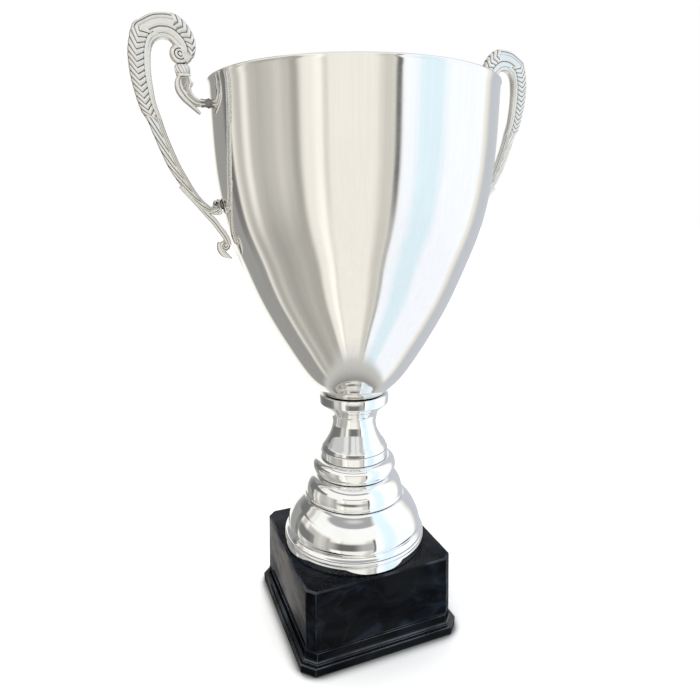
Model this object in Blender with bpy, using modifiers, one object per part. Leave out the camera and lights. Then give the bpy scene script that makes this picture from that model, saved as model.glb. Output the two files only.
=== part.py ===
"""Two-handled trophy cup on a square plinth, as the stack of pieces that one tie rod pulls together.

Metres, +Z up. The origin is on the floor under the cup's axis, the plinth's wide faces look along X and Y,
and the two handles stand in the plane Y = 0. Every piece is one named object.
"""

import math

import bmesh
import bpy
import numpy as np
from mathutils import Matrix, Vector

MM = 0.001
GAP = 0.3 * MM            # left between faces that touch
BOWL_STEPS = 40           # facets round the bowl
TURNED_STEPS = 32         # facets round a foot or stem piece
SMALL_STEPS = 16          # facets round rods, nuts and screws

# Plinth
PLINTH_WIDTH = 120.0 * MM         # across the casing's top
PLINTH_DRAFT = 1.3 * MM           # how much further out each side is at the casing's foot
PLINTH_CORNER = 6.0 * MM          # 45 degree cut on each upright corner
CASING_HEIGHT = 50.8 * MM
CASING_WALL = 3.5 * MM
POST_RADIUS = 5.0 * MM            # screw posts inside the casing's corners
BASE_OVERHANG = 6.5 * MM          # how far the base plate stands out beyond the casing's top edge
BASE_CORNER = 9.0 * MM
PLATE_HEIGHT = 6.3 * MM
MOULDING_HEIGHT = 8.7 * MM
MOULDING_STEP = 3.2 * MM          # the moulding's foot, in from the plate's edge
TRAY_WALL = 9.0 * MM
TRAY_CORNER = 4.0 * MM
TRAY_DEPTH = 9.6 * MM             # hollow under the base that hides the lower nut
FELT_THICKNESS = 1.0 * MM
FELT_INSET = 2.5 * MM
BALLAST_RADIUS = 44.0 * MM
BALLAST_HEIGHT = 24.0 * MM

# Foot and stem, from the plinth up: height of each piece and its largest radius
FOOT_RING_HEIGHT = 9.6 * MM
FOOT_RING_RADIUS = 58.0 * MM
FOOT_DOME_HEIGHT = 30.7 * MM
FOOT_DOME_RADIUS = 56.0 * MM
SHOULDER_HEIGHT = 18.0 * MM
SHOULDER_RADIUS = 40.3 * MM
KNOP_HEIGHT = 14.4 * MM
KNOP_RADIUS = 33.7 * MM
KNOP_NECK = 27.6 * MM             # radius of the knop where it meets its neighbours
BAND_HEIGHT = 6.9 * MM
BAND_RADIUS = 27.3 * MM
NECK_HEIGHT = 34.1 * MM
NECK_FOOT_RADIUS = 26.7 * MM
NECK_WAIST_RADIUS = 17.7 * MM
NECK_TOP_RADIUS = 22.6 * MM
COLLAR_HEIGHT = 10.8 * MM
COLLAR_RADIUS = 27.6 * MM
SPUN_WALL = 1.8 * MM              # wall of the hollow foot and stem pieces
SEAT_GASKET = 0.8 * MM

# Bowl
BOWL_HEIGHT = 219.4 * MM
BOWL_RADIUS = 98.7 * MM
BOWL_SEAT_RADIUS = 24.8 * MM
BOWL_WALL = 1.2 * MM
RIM_BEAD = 1.1 * MM               # radius of the rolled rim
# Share of the height, and share of the way from the seat's radius to the rim's
BOWL_CURVE = ((0, 0), (0.071, 0.195), (0.194, 0.421), (0.317, 0.610), (0.440, 0.760),
              (0.563, 0.888), (0.686, 0.961), (0.809, 0.992), (1, 1))

# Tie rod and its fittings
ROD_RADIUS = 4.0 * MM
ROD_CLEARANCE = 0.5 * MM
NUT_ACROSS_FLATS = 13.0 * MM
NUT_HEIGHT = 6.5 * MM
WASHER_RADIUS = 12.0 * MM
WASHER_THICKNESS = 1.6 * MM
BASE_SCREW_RADIUS = 1.9 * MM
BASE_SCREW_HEAD = 3.6 * MM
BASE_SCREW_LENGTH = 18.0 * MM

# Handles: heights are from the lower fixing. Distances out are from the line between the two wall fixings,
# or from the bowl's wall below the lower one
LOWER_FIXING_HEIGHT = 142.1 * MM  # above the bowl's seat
FIXING_PITCH = 62.0 * MM
BOSS_RADIUS = 2.6 * MM
BOSS_LENGTH = 5.0 * MM
HANDLE_SCREW_RADIUS = 1.4 * MM
HANDLE_SCREW_HEAD = 2.9 * MM
HANDLE_SCREW_HEAD_HEIGHT = 1.9 * MM
HANDLE_SCREW_REACH = 3.6 * MM     # how deep the screw goes into the boss
HANDLE_WASHER_RADIUS = 3.9 * MM
HANDLE_WASHER_THICKNESS = 0.8 * MM
CURVED_SEAT_GAP = 0.6 * MM        # a flat washer stands this far off the curved wall at its centre
THREAD_CLEARANCE = 0.3 * MM

# Each bar: half thickness, then (distance out, height, half width) at its stations, all in millimetres
HANDLE_ARM = (3.0, ((3.0, -22.3, 2.6), (6.5, -14.0, 1.9), (9.6, -7.9, 2.3), (12.6, -1.0, 3.3),
                    (17.9, 6.0, 3.2), (21.0, 12.5, 3.2), (25.9, 22.5, 3.5), (29.3, 32.5, 3.8),
                    (32.2, 42.5, 3.9), (34.6, 52.5, 4.5), (36.8, 60.5, 5.1), (38.0, 77.5, 6.2),
                    (37.7, 85.5, 6.6), (35.6, 93.3, 6.8), (31.4, 99.7, 7.3), (24.6, 103.4, 7.3),
                    (18.0, 103.5, 7.4), (13.0, 100.5, 7.4), (11.4, 94.0, 6.6)))
HANDLE_LEAF = (2.7, ((13.1, 79.0, 3.0), (13.4, 75.5, 4.7), (14.0, 71.0, 5.2), (13.2, 66.3, 4.0),
                     (11.0, 63.3, 3.2), (7.9, 61.4, 2.3), (3.8, 61.4, 1.9), (1.6, 61.9, 2.2)))
HANDLE_LEAF_TAIL = (2.2, ((10.6, 62.2, 1.8), (7.9, 58.3, 1.7), (6.1, 56.1, 1.0)))
HANDLE_LEAF_TIP = (1.6, ((11.6, 71.0, 1.4), (8.1, 72.9, 0.5)))
HANDLE_BRANCH = (2.4, ((12.1, -0.8, 1.9), (7.2, -3.2, 2.1), (4.1, -2.6, 1.9), (1.9, -0.8, 1.9)))
HANDLE_CREST = (1.5, ((12.6, 107.3, 1.6), (16.2, 111.6, 0.6)))
HANDLE_BARB = (1.5, ((20.2, 6.0, 1.4), (25.5, 10.3, 0.5)))
HANDLE_TIP = (1.9, ((9.4, -30.2, 1.6), (7.8, -33.6, 1.5), (5.4, -35.4, 1.0)))
HANDLE_BARS = (HANDLE_ARM, HANDLE_LEAF, HANDLE_LEAF_TAIL, HANDLE_LEAF_TIP, HANDLE_BRANCH,
               HANDLE_CREST, HANDLE_BARB, HANDLE_TIP)
# Each disc stands in the handle's plane: distance out, height, radius, half thickness
HANDLE_DISCS = ((12.6, 88.7, 6.7, 3.4), (7.3, -27.7, 5.0, 2.7))
# The ring between the volute and the leaf: distance out, lowest and highest height, radius
HANDLE_RING = (13.0, 76.5, 83.5, 4.7)

# Heights of the stack above the floor
BASE_BOTTOM = FELT_THICKNESS + GAP
BASE_TOP = BASE_BOTTOM + PLATE_HEIGHT + MOULDING_HEIGHT
TRAY_TOP = BASE_BOTTOM + TRAY_DEPTH
CASING_BOTTOM = BASE_TOP + GAP
CASING_TOP = CASING_BOTTOM + CASING_HEIGHT
RING_BOTTOM = CASING_TOP + GAP
DOME_BOTTOM = RING_BOTTOM + FOOT_RING_HEIGHT + GAP
SHOULDER_BOTTOM = DOME_BOTTOM + FOOT_DOME_HEIGHT + GAP
KNOP_BOTTOM = SHOULDER_BOTTOM + SHOULDER_HEIGHT + GAP
BAND_BOTTOM = KNOP_BOTTOM + KNOP_HEIGHT + GAP
NECK_BOTTOM = BAND_BOTTOM + BAND_HEIGHT + GAP
COLLAR_BOTTOM = NECK_BOTTOM + NECK_HEIGHT + GAP
GASKET_BOTTOM = COLLAR_BOTTOM + COLLAR_HEIGHT + GAP
BOWL_BOTTOM = GASKET_BOTTOM + SEAT_GASKET + GAP
BORE_RADIUS = ROD_RADIUS + ROD_CLEARANCE


def clear_scene():
    for obj in list(bpy.data.objects):
        bpy.data.objects.remove(obj, do_unlink=True)


def new_collection(name, hidden=False):
    collection = bpy.data.collections.new(name)
    bpy.context.scene.collection.children.link(collection)
    collection.hide_render = hidden
    return collection


def new_material(name, colour, roughness, metallic):
    material = bpy.data.materials.new(name)
    material.use_nodes = True
    shader = material.node_tree.nodes["Principled BSDF"]
    shader.inputs["Base Color"].default_value = (*colour, 1)
    shader.inputs["Roughness"].default_value = roughness
    shader.inputs["Metallic"].default_value = metallic
    return material


clear_scene()
TROPHY = new_collection("trophy_cup")
CUTTERS = new_collection("cutters", hidden=True)
POLISHED = new_material("polished_nickel", (0.80, 0.79, 0.76), 0.12, 1)
CHROME = new_material("bright_chrome", (0.86, 0.87, 0.88), 0.05, 1)
CAST = new_material("satin_cast_nickel", (0.74, 0.73, 0.70), 0.35, 1)
BLACK = new_material("black_marble_plastic", (0.012, 0.014, 0.018), 0.15, 0)
ZINC = new_material("zinc_plated_steel", (0.62, 0.63, 0.64), 0.4, 1)
CEMENT = new_material("grey_cement", (0.36, 0.35, 0.33), 0.9, 0)
RUBBER = new_material("black_rubber", (0.02, 0.02, 0.02), 0.7, 0)
FELT = new_material("black_felt", (0.015, 0.015, 0.018), 0.95, 0)


def add_mesh(name, bm, material, smooth=True, collection=None):
    """Puts the bmesh into a named object, with the round parts of it shaded smooth."""
    bmesh.ops.recalc_face_normals(bm, faces=bm.faces)
    mesh = bpy.data.meshes.new(name)
    bm.to_mesh(mesh)
    bm.free()
    if material:
        mesh.materials.append(material)
    obj = bpy.data.objects.new(name, mesh)
    (collection or TROPHY).objects.link(obj)
    if smooth:
        mesh.shade_smooth()
        mesh.set_sharp_from_angle(angle=math.radians(35))
    return obj


def add_cutter(name, bm):
    cutter = add_mesh(name, bm, None, smooth=False, collection=CUTTERS)
    cutter.hide_render = True
    cutter.display_type = "WIRE"
    return cutter


def cut(obj, cutter, operation="DIFFERENCE"):
    modifier = obj.modifiers.new(f"{operation.lower()} {cutter.name}", "BOOLEAN")
    modifier.operation = operation
    modifier.object = cutter
    modifier.solver = "EXACT"


def smooth_path(points, steps):
    """A Catmull-Rom curve through the points, with the given number of steps between each two."""
    points = np.asarray(points, float)
    ends = np.vstack([2 * points[0] - points[1], points, 2 * points[-1] - points[-2]])
    share = np.linspace(0, 1, steps, endpoint=False)[:, None]
    spans = []
    for a, b, c, d in zip(ends, ends[1:], ends[2:], ends[3:]):
        spans.append(b + 0.5 * share * (c - a + share * (2 * a - 5 * b + 4 * c - d
                                                         + share * (3 * b - 3 * c + d - a))))
    return np.vstack([*spans, points[-1:]])


def arc(centre_radius, centre_height, radius, start, end, steps):
    """Points of an arc in a turned profile. Angles are in degrees, from straight outwards, upwards."""
    angles = np.radians(np.linspace(start, end, steps + 1))
    return [(centre_radius + radius * math.cos(a), centre_height + radius * math.sin(a)) for a in angles]


def turn(name, profile, bottom, material, steps):
    """A turned piece: a closed profile of (radius, height), which runs down its outer side."""
    mesh = bpy.data.meshes.new(name)
    points = [(radius, 0, height) for radius, height in profile]
    edges = [(i, (i + 1) % len(points)) for i in range(len(points))]
    mesh.from_pydata(points, edges, [])
    mesh.materials.append(material)
    obj = bpy.data.objects.new(name, mesh)
    TROPHY.objects.link(obj)
    obj.location.z = bottom
    screw = obj.modifiers.new("turn", "SCREW")
    screw.steps = steps
    screw.render_steps = steps
    screw.use_merge_vertices = True
    screw.merge_threshold = 0.00005
    screw.use_smooth_shade = True
    return obj


def hollow_turn(name, outer, bottom, material, web=SPUN_WALL):
    """A hollow turned piece, open below: its wall follows the outside up to a bored web at the top."""
    top = outer[0][1]
    inner_top = top - web
    radii = np.array([point[0] for point in outer][::-1])
    heights = np.array([point[1] for point in outer][::-1])
    thinnest = BORE_RADIUS + SPUN_WALL
    inner = [(max(float(np.interp(h, heights, radii)) - SPUN_WALL, thinnest), float(h))
             for h in np.linspace(0, inner_top, 3)]
    profile = list(outer) + inner + [(BORE_RADIUS, inner_top), (BORE_RADIUS, top)]
    return turn(name, profile, bottom, material, TURNED_STEPS)


def cylinder(bm, radius, low, high, steps=SMALL_STEPS, matrix=None):
    """A cylinder about Z from low to high, then placed by the matrix."""
    made = bmesh.ops.create_cone(bm, cap_ends=True, segments=steps, radius1=radius, radius2=radius,
                                 depth=high - low)
    bmesh.ops.translate(bm, verts=made["verts"], vec=(0, 0, (low + high) / 2))
    if matrix:
        bmesh.ops.transform(bm, matrix=matrix, verts=made["verts"])


def chamfered_square(half, corner):
    """The eight corners of a square with its corners cut off, anticlockwise."""
    return [(half, -half + corner), (half, half - corner), (half - corner, half), (-half + corner, half),
            (-half, half - corner), (-half, -half + corner), (-half + corner, -half), (half - corner, -half)]


def square_loft(bm, levels):
    """A closed stack of cut-cornered squares, each (half width, corner, height), from the bottom up."""
    rings = [[bm.verts.new((x, y, height)) for x, y in chamfered_square(half, corner)]
             for half, corner, height in levels]
    for low, high in zip(rings, rings[1:]):
        for i in range(8):
            bm.faces.new((low[i], low[(i + 1) % 8], high[(i + 1) % 8], high[i]))
    bm.faces.new(rings[0][::-1])
    bm.faces.new(rings[-1])


def bowl_radius(height):
    """Outer radius of the bowl at a height above its seat."""
    curve = smooth_path(BOWL_CURVE, 6)
    share = np.interp(height / BOWL_HEIGHT, curve[:, 0], curve[:, 1])
    return BOWL_SEAT_RADIUS + share * (BOWL_RADIUS - BOWL_SEAT_RADIUS)


def bowl_slope(height):
    """How fast the bowl's radius grows with height."""
    step = 0.5 * MM
    return (bowl_radius(height + step) - bowl_radius(height - step)) / (2 * step)


def inner_radius(height):
    """Inner radius of the bowl: the wall's thickness is measured square to the wall."""
    return bowl_radius(height) - BOWL_WALL * math.hypot(1, bowl_slope(height))


def make_bowl():
    heights = smooth_path(BOWL_CURVE, 2)[:-1, 0] * BOWL_HEIGHT
    outer = [(bowl_radius(h), h) for h in heights]
    inner = [(inner_radius(h), h) for h in heights if h > 2 * BOWL_WALL]
    floor_radius = inner_radius(BOWL_WALL)
    bead_radius = BOWL_RADIUS - RIM_BEAD / 2
    bead_height = BOWL_HEIGHT - RIM_BEAD
    bead = arc(bead_radius, bead_height, RIM_BEAD, 210, -60, 5)
    floor = [(BORE_RADIUS, 0), (BORE_RADIUS, BOWL_WALL), (floor_radius, BOWL_WALL)]
    profile = bead + outer[::-1] + floor + inner
    bowl = turn("bowl", profile, BOWL_BOTTOM, POLISHED, BOWL_STEPS)
    for side, spot, height in handle_fixings():
        bm = bmesh.new()
        cylinder(bm, HANDLE_SCREW_RADIUS + THREAD_CLEARANCE, -4 * BOWL_WALL, 4 * BOWL_WALL,
                 matrix=fixing_frame(side, height))
        cut(bowl, add_cutter(f"screw_hole_{side}_{spot}", bm))


def handle_fixings():
    """(side, spot, height above the bowl's seat) of the four screws that hold the handles."""
    spots = (("lower", LOWER_FIXING_HEIGHT), ("upper", LOWER_FIXING_HEIGHT + FIXING_PITCH))
    return [(side, spot, height) for side in ("left", "right") for spot, height in spots]


def fixing_frame(side, height):
    """Placement with its origin on the bowl's outer wall and +Z square to the wall, outwards."""
    sign = -1 if side == "left" else 1
    normal = Vector((sign, 0, -bowl_slope(height))).normalized()
    place = Matrix.Translation((sign * bowl_radius(height), 0, BOWL_BOTTOM + height))
    return place @ normal.to_track_quat("Z", "Y").to_matrix().to_4x4()


def wall_line(height_mm):
    """Distance out from the axis, at a height above the lower fixing, to what a handle stands off from.

    That is the line through the two fixings above the lower one, and the bowl's wall below it."""
    low = bowl_radius(LOWER_FIXING_HEIGHT)
    high = bowl_radius(LOWER_FIXING_HEIGHT + FIXING_PITCH)
    if height_mm < 0:
        return bowl_radius(LOWER_FIXING_HEIGHT + height_mm * MM)
    return low + (high - low) * height_mm * MM / FIXING_PITCH


def handle_point(out_mm, height_mm):
    """(X, Z) of a point of the left handle."""
    return (-(wall_line(height_mm) + out_mm * MM),
            BOWL_BOTTOM + LOWER_FIXING_HEIGHT + height_mm * MM)


def bar_mesh(half_thickness, stations, steps=1):
    """A flat bar with rounded faces, swept along its stations with a six-sided, lens-like section."""
    section = ((1, 0), (0.6, 1), (-0.6, 1), (-1, 0), (-0.6, -1), (0.6, -1))
    path = smooth_path([(*handle_point(out, up), half * MM) for out, up, half in stations], steps)
    along = np.gradient(path[:, :2], axis=0)
    along /= np.linalg.norm(along, axis=1)[:, None]
    bm = bmesh.new()
    rings = []
    for (x, z, half), (tangent_x, tangent_z) in zip(path, along):
        rings.append([bm.verts.new((x + tangent_z * half * across, half_thickness * MM * out,
                                    z - tangent_x * half * across)) for across, out in section])
    for low, high in zip(rings, rings[1:]):
        for i in range(len(section)):
            bm.faces.new((low[i], low[(i + 1) % len(section)], high[(i + 1) % len(section)], high[i]))
    bm.faces.new(rings[0][::-1])
    bm.faces.new(rings[-1])
    return bm


def make_left_handle():
    handle = add_mesh("handle_left", bar_mesh(*HANDLE_ARM, steps=2), CAST)
    shapes = [bar_mesh(*bar) for bar in HANDLE_BARS[1:]]
    for out, up, radius, half_thickness in HANDLE_DISCS:
        x, z = handle_point(out, up)
        disc = bmesh.new()
        cylinder(disc, radius * MM, -half_thickness * MM, half_thickness * MM,
                 matrix=Matrix.Translation((x, 0, z)) @ Matrix.Rotation(math.pi / 2, 4, "X"))
        shapes.append(disc)
    out, low, high, radius = HANDLE_RING
    x, z = handle_point(out, low)
    ring = bmesh.new()
    cylinder(ring, radius * MM, 0, (high - low) * MM, matrix=Matrix.Translation((x, 0, z)))
    shapes.append(ring)
    for side, spot, height in handle_fixings():
        if side == "left":
            boss = bmesh.new()
            cylinder(boss, BOSS_RADIUS, GAP, GAP + BOSS_LENGTH, matrix=fixing_frame(side, height))
            shapes.append(boss)
    for number, bm in enumerate(shapes):
        cut(handle, add_cutter(f"handle_shape_{number}", bm), "UNION")
    for side, spot, height in handle_fixings():
        if side == "left":
            hole = bmesh.new()
            cylinder(hole, HANDLE_SCREW_RADIUS + THREAD_CLEARANCE, -GAP, HANDLE_SCREW_REACH + 2 * GAP,
                     matrix=fixing_frame(side, height))
            cut(handle, add_cutter(f"boss_bore_{spot}", hole))
    return handle


def make_right_handle(left):
    """The left handle's evaluated shape, turned half a turn about the cup's axis."""
    bpy.context.view_layer.update()
    graph = bpy.context.evaluated_depsgraph_get()
    mesh = bpy.data.meshes.new_from_object(left.evaluated_get(graph))
    mesh.transform(Matrix.Rotation(math.pi, 4, "Z"))
    right = bpy.data.objects.new("handle_right", mesh)
    TROPHY.objects.link(right)


def make_handle_screws():
    inside = -(BOWL_WALL + CURVED_SEAT_GAP)
    for side, spot, height in handle_fixings():
        frame = fixing_frame(side, height)
        washer = ring_mesh(HANDLE_WASHER_RADIUS, HANDLE_SCREW_RADIUS + THREAD_CLEARANCE,
                           HANDLE_WASHER_THICKNESS, SMALL_STEPS)
        bmesh.ops.translate(washer, verts=washer.verts, vec=(0, 0, inside - HANDLE_WASHER_THICKNESS))
        bmesh.ops.transform(washer, matrix=frame, verts=washer.verts)
        add_mesh(f"handle_washer_{side}_{spot}", washer, ZINC)
        head_top = inside - HANDLE_WASHER_THICKNESS - GAP
        screw = headed_screw(HANDLE_SCREW_RADIUS, HANDLE_SCREW_HEAD, HANDLE_SCREW_HEAD_HEIGHT,
                             head_top, HANDLE_SCREW_REACH)
        bmesh.ops.transform(screw, matrix=frame, verts=screw.verts)
        add_mesh(f"handle_screw_{side}_{spot}", screw, ZINC)


def headed_screw(shank, head, head_height, head_top, tip):
    """A pan-headed screw pointing up: its head lies under head_top and its shank ends at tip."""
    profile = ((0, head_top - head_height), (head * 0.7, head_top - head_height),
               (head, head_top - 0.6 * head_height), (head, head_top), (shank, head_top),
               (shank, tip - 0.4 * shank), (0.6 * shank, tip), (0, tip))
    return spin_mesh(profile, SMALL_STEPS)


def spin_mesh(profile, steps):
    """A solid of revolution about Z from an open profile whose two ends lie on the axis."""
    bm = bmesh.new()
    verts = [bm.verts.new((radius, 0, height)) for radius, height in profile]
    edges = [bm.edges.new(pair) for pair in zip(verts, verts[1:])]
    bmesh.ops.spin(bm, geom=verts + edges, cent=(0, 0, 0), axis=(0, 0, 1), angle=2 * math.pi, steps=steps,
                   use_merge=False, use_duplicate=False)
    bmesh.ops.remove_doubles(bm, verts=bm.verts, dist=1e-6)
    return bm


def ring_mesh(outer, inner, thickness, steps):
    """A flat ring on the XY plane, from Z = 0 up."""
    bm = bmesh.new()
    loops = []
    for radius, height in ((outer, 0), (outer, thickness), (inner, thickness), (inner, 0)):
        loops.append([bm.verts.new((radius * math.cos(angle), radius * math.sin(angle), height))
                      for angle in np.arange(steps) * 2 * math.pi / steps])
    for a, b in zip(loops, loops[1:] + loops[:1]):
        for i in range(steps):
            bm.faces.new((a[i], a[(i + 1) % steps], b[(i + 1) % steps], b[i]))
    return bm


def nut_mesh(across_flats, bore, height):
    """A hexagonal nut standing on Z = 0, with a round bore of the same number of sides."""
    bm = bmesh.new()
    steps = 24
    corner = across_flats / 2 / math.cos(math.pi / 6)
    angles = np.arange(steps) * 2 * math.pi / steps
    flat = corner * math.cos(math.pi / 6) / np.cos((angles + math.pi / 6) % (math.pi / 3) - math.pi / 6)
    loops = []
    hole = np.full(steps, bore)
    for radii, level in ((flat, 0), (flat, height), (hole, height), (hole, 0)):
        loops.append([bm.verts.new((r * math.cos(a), r * math.sin(a), level)) for r, a in zip(radii, angles)])
    for a, b in zip(loops, loops[1:] + loops[:1]):
        for i in range(steps):
            bm.faces.new((a[i], a[(i + 1) % steps], b[(i + 1) % steps], b[i]))
    return bm


def make_stem():
    """The collar, neck, band and knop, from the top down."""
    collar = [(BORE_RADIUS + SPUN_WALL, COLLAR_HEIGHT), (COLLAR_RADIUS - 0.6 * MM, COLLAR_HEIGHT),
              (COLLAR_RADIUS, COLLAR_HEIGHT - 0.9 * MM), (COLLAR_RADIUS, 4.6 * MM),
              (COLLAR_RADIUS - 0.5 * MM, 3.7 * MM), (NECK_TOP_RADIUS + 0.6 * MM, 0)]
    hollow_turn("stem_collar", collar, COLLAR_BOTTOM, CHROME)
    waist = NECK_WAIST_RADIUS
    flare = NECK_FOOT_RADIUS - waist
    throat = NECK_TOP_RADIUS - waist
    outline = ((NECK_TOP_RADIUS, 1), (waist + 0.55 * throat, 0.91), (waist + 0.24 * throat, 0.81),
               (waist, 0.61), (waist + 0.17 * flare, 0.40), (waist + 0.53 * flare, 0.22),
               (waist + 0.85 * flare, 0.10), (NECK_FOOT_RADIUS, 0))
    neck = [(r, share * NECK_HEIGHT) for r, share in outline]
    hollow_turn("stem_neck", neck, NECK_BOTTOM, CHROME)
    band = [(BAND_RADIUS - 0.4 * MM, BAND_HEIGHT), (BAND_RADIUS, BAND_HEIGHT - 0.5 * MM), (BAND_RADIUS, 0)]
    hollow_turn("stem_band", band, BAND_BOTTOM, CHROME)
    bulge = KNOP_RADIUS - KNOP_NECK
    knop = [(KNOP_NECK + bulge * math.cos(a), KNOP_HEIGHT / 2 * (1 + math.sin(a)))
            for a in np.radians(np.linspace(90, -90, 9))]
    hollow_turn("stem_knop", knop, KNOP_BOTTOM, CHROME)


def make_foot():
    """The shoulder with its bead, the dome with the cove under it, and the ring on the plinth."""
    top = KNOP_NECK + 1.6 * MM
    rise = SHOULDER_RADIUS - 1 * MM - top
    drop = SHOULDER_HEIGHT - 4.4 * MM
    shoulder = [(top + rise * math.sin(a), 4.4 * MM + drop * math.cos(a) ** 1.25)
                for a in np.radians(np.linspace(0, 84, 6))]
    shoulder += arc(SHOULDER_RADIUS - 1.6 * MM, 1.9 * MM, 1.6 * MM, 60, -60, 2)
    shoulder += [(SHOULDER_RADIUS - 1.2 * MM, 0)]
    hollow_turn("foot_shoulder", shoulder, SHOULDER_BOTTOM, CHROME)
    neck = SHOULDER_RADIUS + 0.6 * MM
    belly = FOOT_DOME_RADIUS - 1.6 * MM
    swell = belly - neck
    dome = smooth_path(((neck, 1), (neck + 0.13 * swell, 0.94), (neck + 0.55 * swell, 0.72),
                        (neck + 0.86 * swell, 0.46), (belly, 0.24), (belly - 0.6 * MM, 0.10),
                        (FOOT_DOME_RADIUS, 0)), 1)
    hollow_turn("foot_dome", [(r, share * FOOT_DOME_HEIGHT) for r, share in dome], DOME_BOTTOM, CHROME)
    bead = 1.6 * MM
    ring = arc(FOOT_RING_RADIUS - bead - 0.4 * MM, FOOT_RING_HEIGHT - bead, bead, 90, -50, 4)
    ring += [(FOOT_RING_RADIUS - 1.1 * MM, FOOT_RING_HEIGHT - 3.4 * MM),
             (FOOT_RING_RADIUS - 0.3 * MM, FOOT_RING_HEIGHT - 3.8 * MM),
             (FOOT_RING_RADIUS, 1.0 * MM), (FOOT_RING_RADIUS - 0.4 * MM, 0)]
    hollow_turn("foot_ring", ring, RING_BOTTOM, CHROME)


def make_plinth():
    half = PLINTH_WIDTH / 2
    foot = half + PLINTH_DRAFT
    body = bmesh.new()
    square_loft(body, ((foot, PLINTH_CORNER, 0), (half, PLINTH_CORNER, CASING_HEIGHT - 0.8 * MM),
                       (half - 0.6 * MM, PLINTH_CORNER, CASING_HEIGHT)))
    casing = add_mesh("plinth_casing", body, BLACK, smooth=False)
    casing.location.z = CASING_BOTTOM
    hollow = bmesh.new()
    square_loft(hollow, ((foot - CASING_WALL, PLINTH_CORNER, -GAP),
                         (half - CASING_WALL, PLINTH_CORNER, CASING_HEIGHT - CASING_WALL)))
    posts = [Matrix.Translation((x, y, 0)) for x, y in base_screw_places()]
    hollow_cutter = add_cutter("casing_hollow", hollow)
    hollow_cutter.location.z = CASING_BOTTOM
    cut(casing, hollow_cutter)
    for number, place in enumerate(posts):
        post = bmesh.new()
        cylinder(post, POST_RADIUS, 0, CASING_HEIGHT - CASING_WALL / 2, matrix=place)
        post_tool = add_cutter(f"post_{number}", post)
        post_tool.location.z = CASING_BOTTOM
        cut(casing, post_tool, "UNION")
        bore = bmesh.new()
        cylinder(bore, BASE_SCREW_RADIUS + THREAD_CLEARANCE, -2 * GAP, BASE_SCREW_LENGTH, matrix=place)
        bore_tool = add_cutter(f"post_bore_{number}", bore)
        bore_tool.location.z = CASING_BOTTOM
        cut(casing, bore_tool)
    rod_hole = bmesh.new()
    cylinder(rod_hole, BORE_RADIUS, 0, CASING_HEIGHT + CASING_WALL)
    rod_tool = add_cutter("casing_rod_hole", rod_hole)
    rod_tool.location.z = CASING_BOTTOM
    cut(casing, rod_tool)


def base_screw_places():
    """Centres of the four base screws, just inside the casing's corners."""
    reach = PLINTH_WIDTH / 2 - CASING_WALL - PLINTH_CORNER / 2 - POST_RADIUS / 2
    return [(sx * reach, sy * reach) for sx, sy in ((-1, -1), (1, -1), (1, 1), (-1, 1))]


def make_base():
    half = PLINTH_WIDTH / 2 + BASE_OVERHANG
    casing_foot = PLINTH_WIDTH / 2 + PLINTH_DRAFT
    step = half - MOULDING_STEP
    mould = PLATE_HEIGHT + MOULDING_HEIGHT
    cove = [(casing_foot + 0.5 * MM + (step - casing_foot - 0.5 * MM) * (1 - math.cos(a)),
             PLATE_HEIGHT + 1.2 * MM + (MOULDING_HEIGHT - 2.2 * MM) * (1 - math.sin(a)))
            for a in np.radians((0, 22.5, 45, 67.5, 90))][::-1]
    levels = [(half, BASE_CORNER, 0), (half, BASE_CORNER, PLATE_HEIGHT - 0.6 * MM),
              (half - 0.6 * MM, BASE_CORNER, PLATE_HEIGHT), (step, BASE_CORNER - 1 * MM, PLATE_HEIGHT)]
    levels += [(width, BASE_CORNER - 1.6 * MM, height) for width, height in cove]
    levels += [(casing_foot + 0.5 * MM, BASE_CORNER - 1.6 * MM, mould)]
    body = bmesh.new()
    square_loft(body, levels)
    base = add_mesh("plinth_base", body, BLACK, smooth=False)
    base.location.z = BASE_BOTTOM
    tray = bmesh.new()
    square_loft(tray, ((half - TRAY_WALL, TRAY_CORNER, -GAP), (half - TRAY_WALL, TRAY_CORNER, TRAY_DEPTH)))
    tray_tool = add_cutter("base_tray", tray)
    tray_tool.location.z = BASE_BOTTOM
    cut(base, tray_tool)
    holes = [(0, 0, BORE_RADIUS)]
    holes += [(x, y, BASE_SCREW_RADIUS + THREAD_CLEARANCE) for x, y in base_screw_places()]
    for number, (x, y, radius) in enumerate(holes):
        hole = bmesh.new()
        cylinder(hole, radius, BASE_BOTTOM, BASE_TOP + PLATE_HEIGHT, matrix=Matrix.Translation((x, y, 0)))
        cut(base, add_cutter(f"base_hole_{number}", hole))
    for number, (x, y) in enumerate(base_screw_places()):
        head_top = TRAY_TOP - GAP
        screw = headed_screw(BASE_SCREW_RADIUS, BASE_SCREW_HEAD, 2.4 * MM, head_top,
                             CASING_BOTTOM + BASE_SCREW_LENGTH - 2 * GAP)
        bmesh.ops.translate(screw, verts=screw.verts, vec=(x, y, 0))
        add_mesh(f"base_screw_{number + 1}", screw, ZINC)
    pad = bmesh.new()
    square_loft(pad, ((half - FELT_INSET, BASE_CORNER, 0), (half - FELT_INSET, BASE_CORNER, FELT_THICKNESS)))
    add_mesh("base_felt", pad, FELT, smooth=False)
    ballast = ring_mesh(BALLAST_RADIUS, BORE_RADIUS, BALLAST_HEIGHT, TURNED_STEPS)
    add_mesh("ballast_disc", ballast, CEMENT).location.z = CASING_BOTTOM


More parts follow.
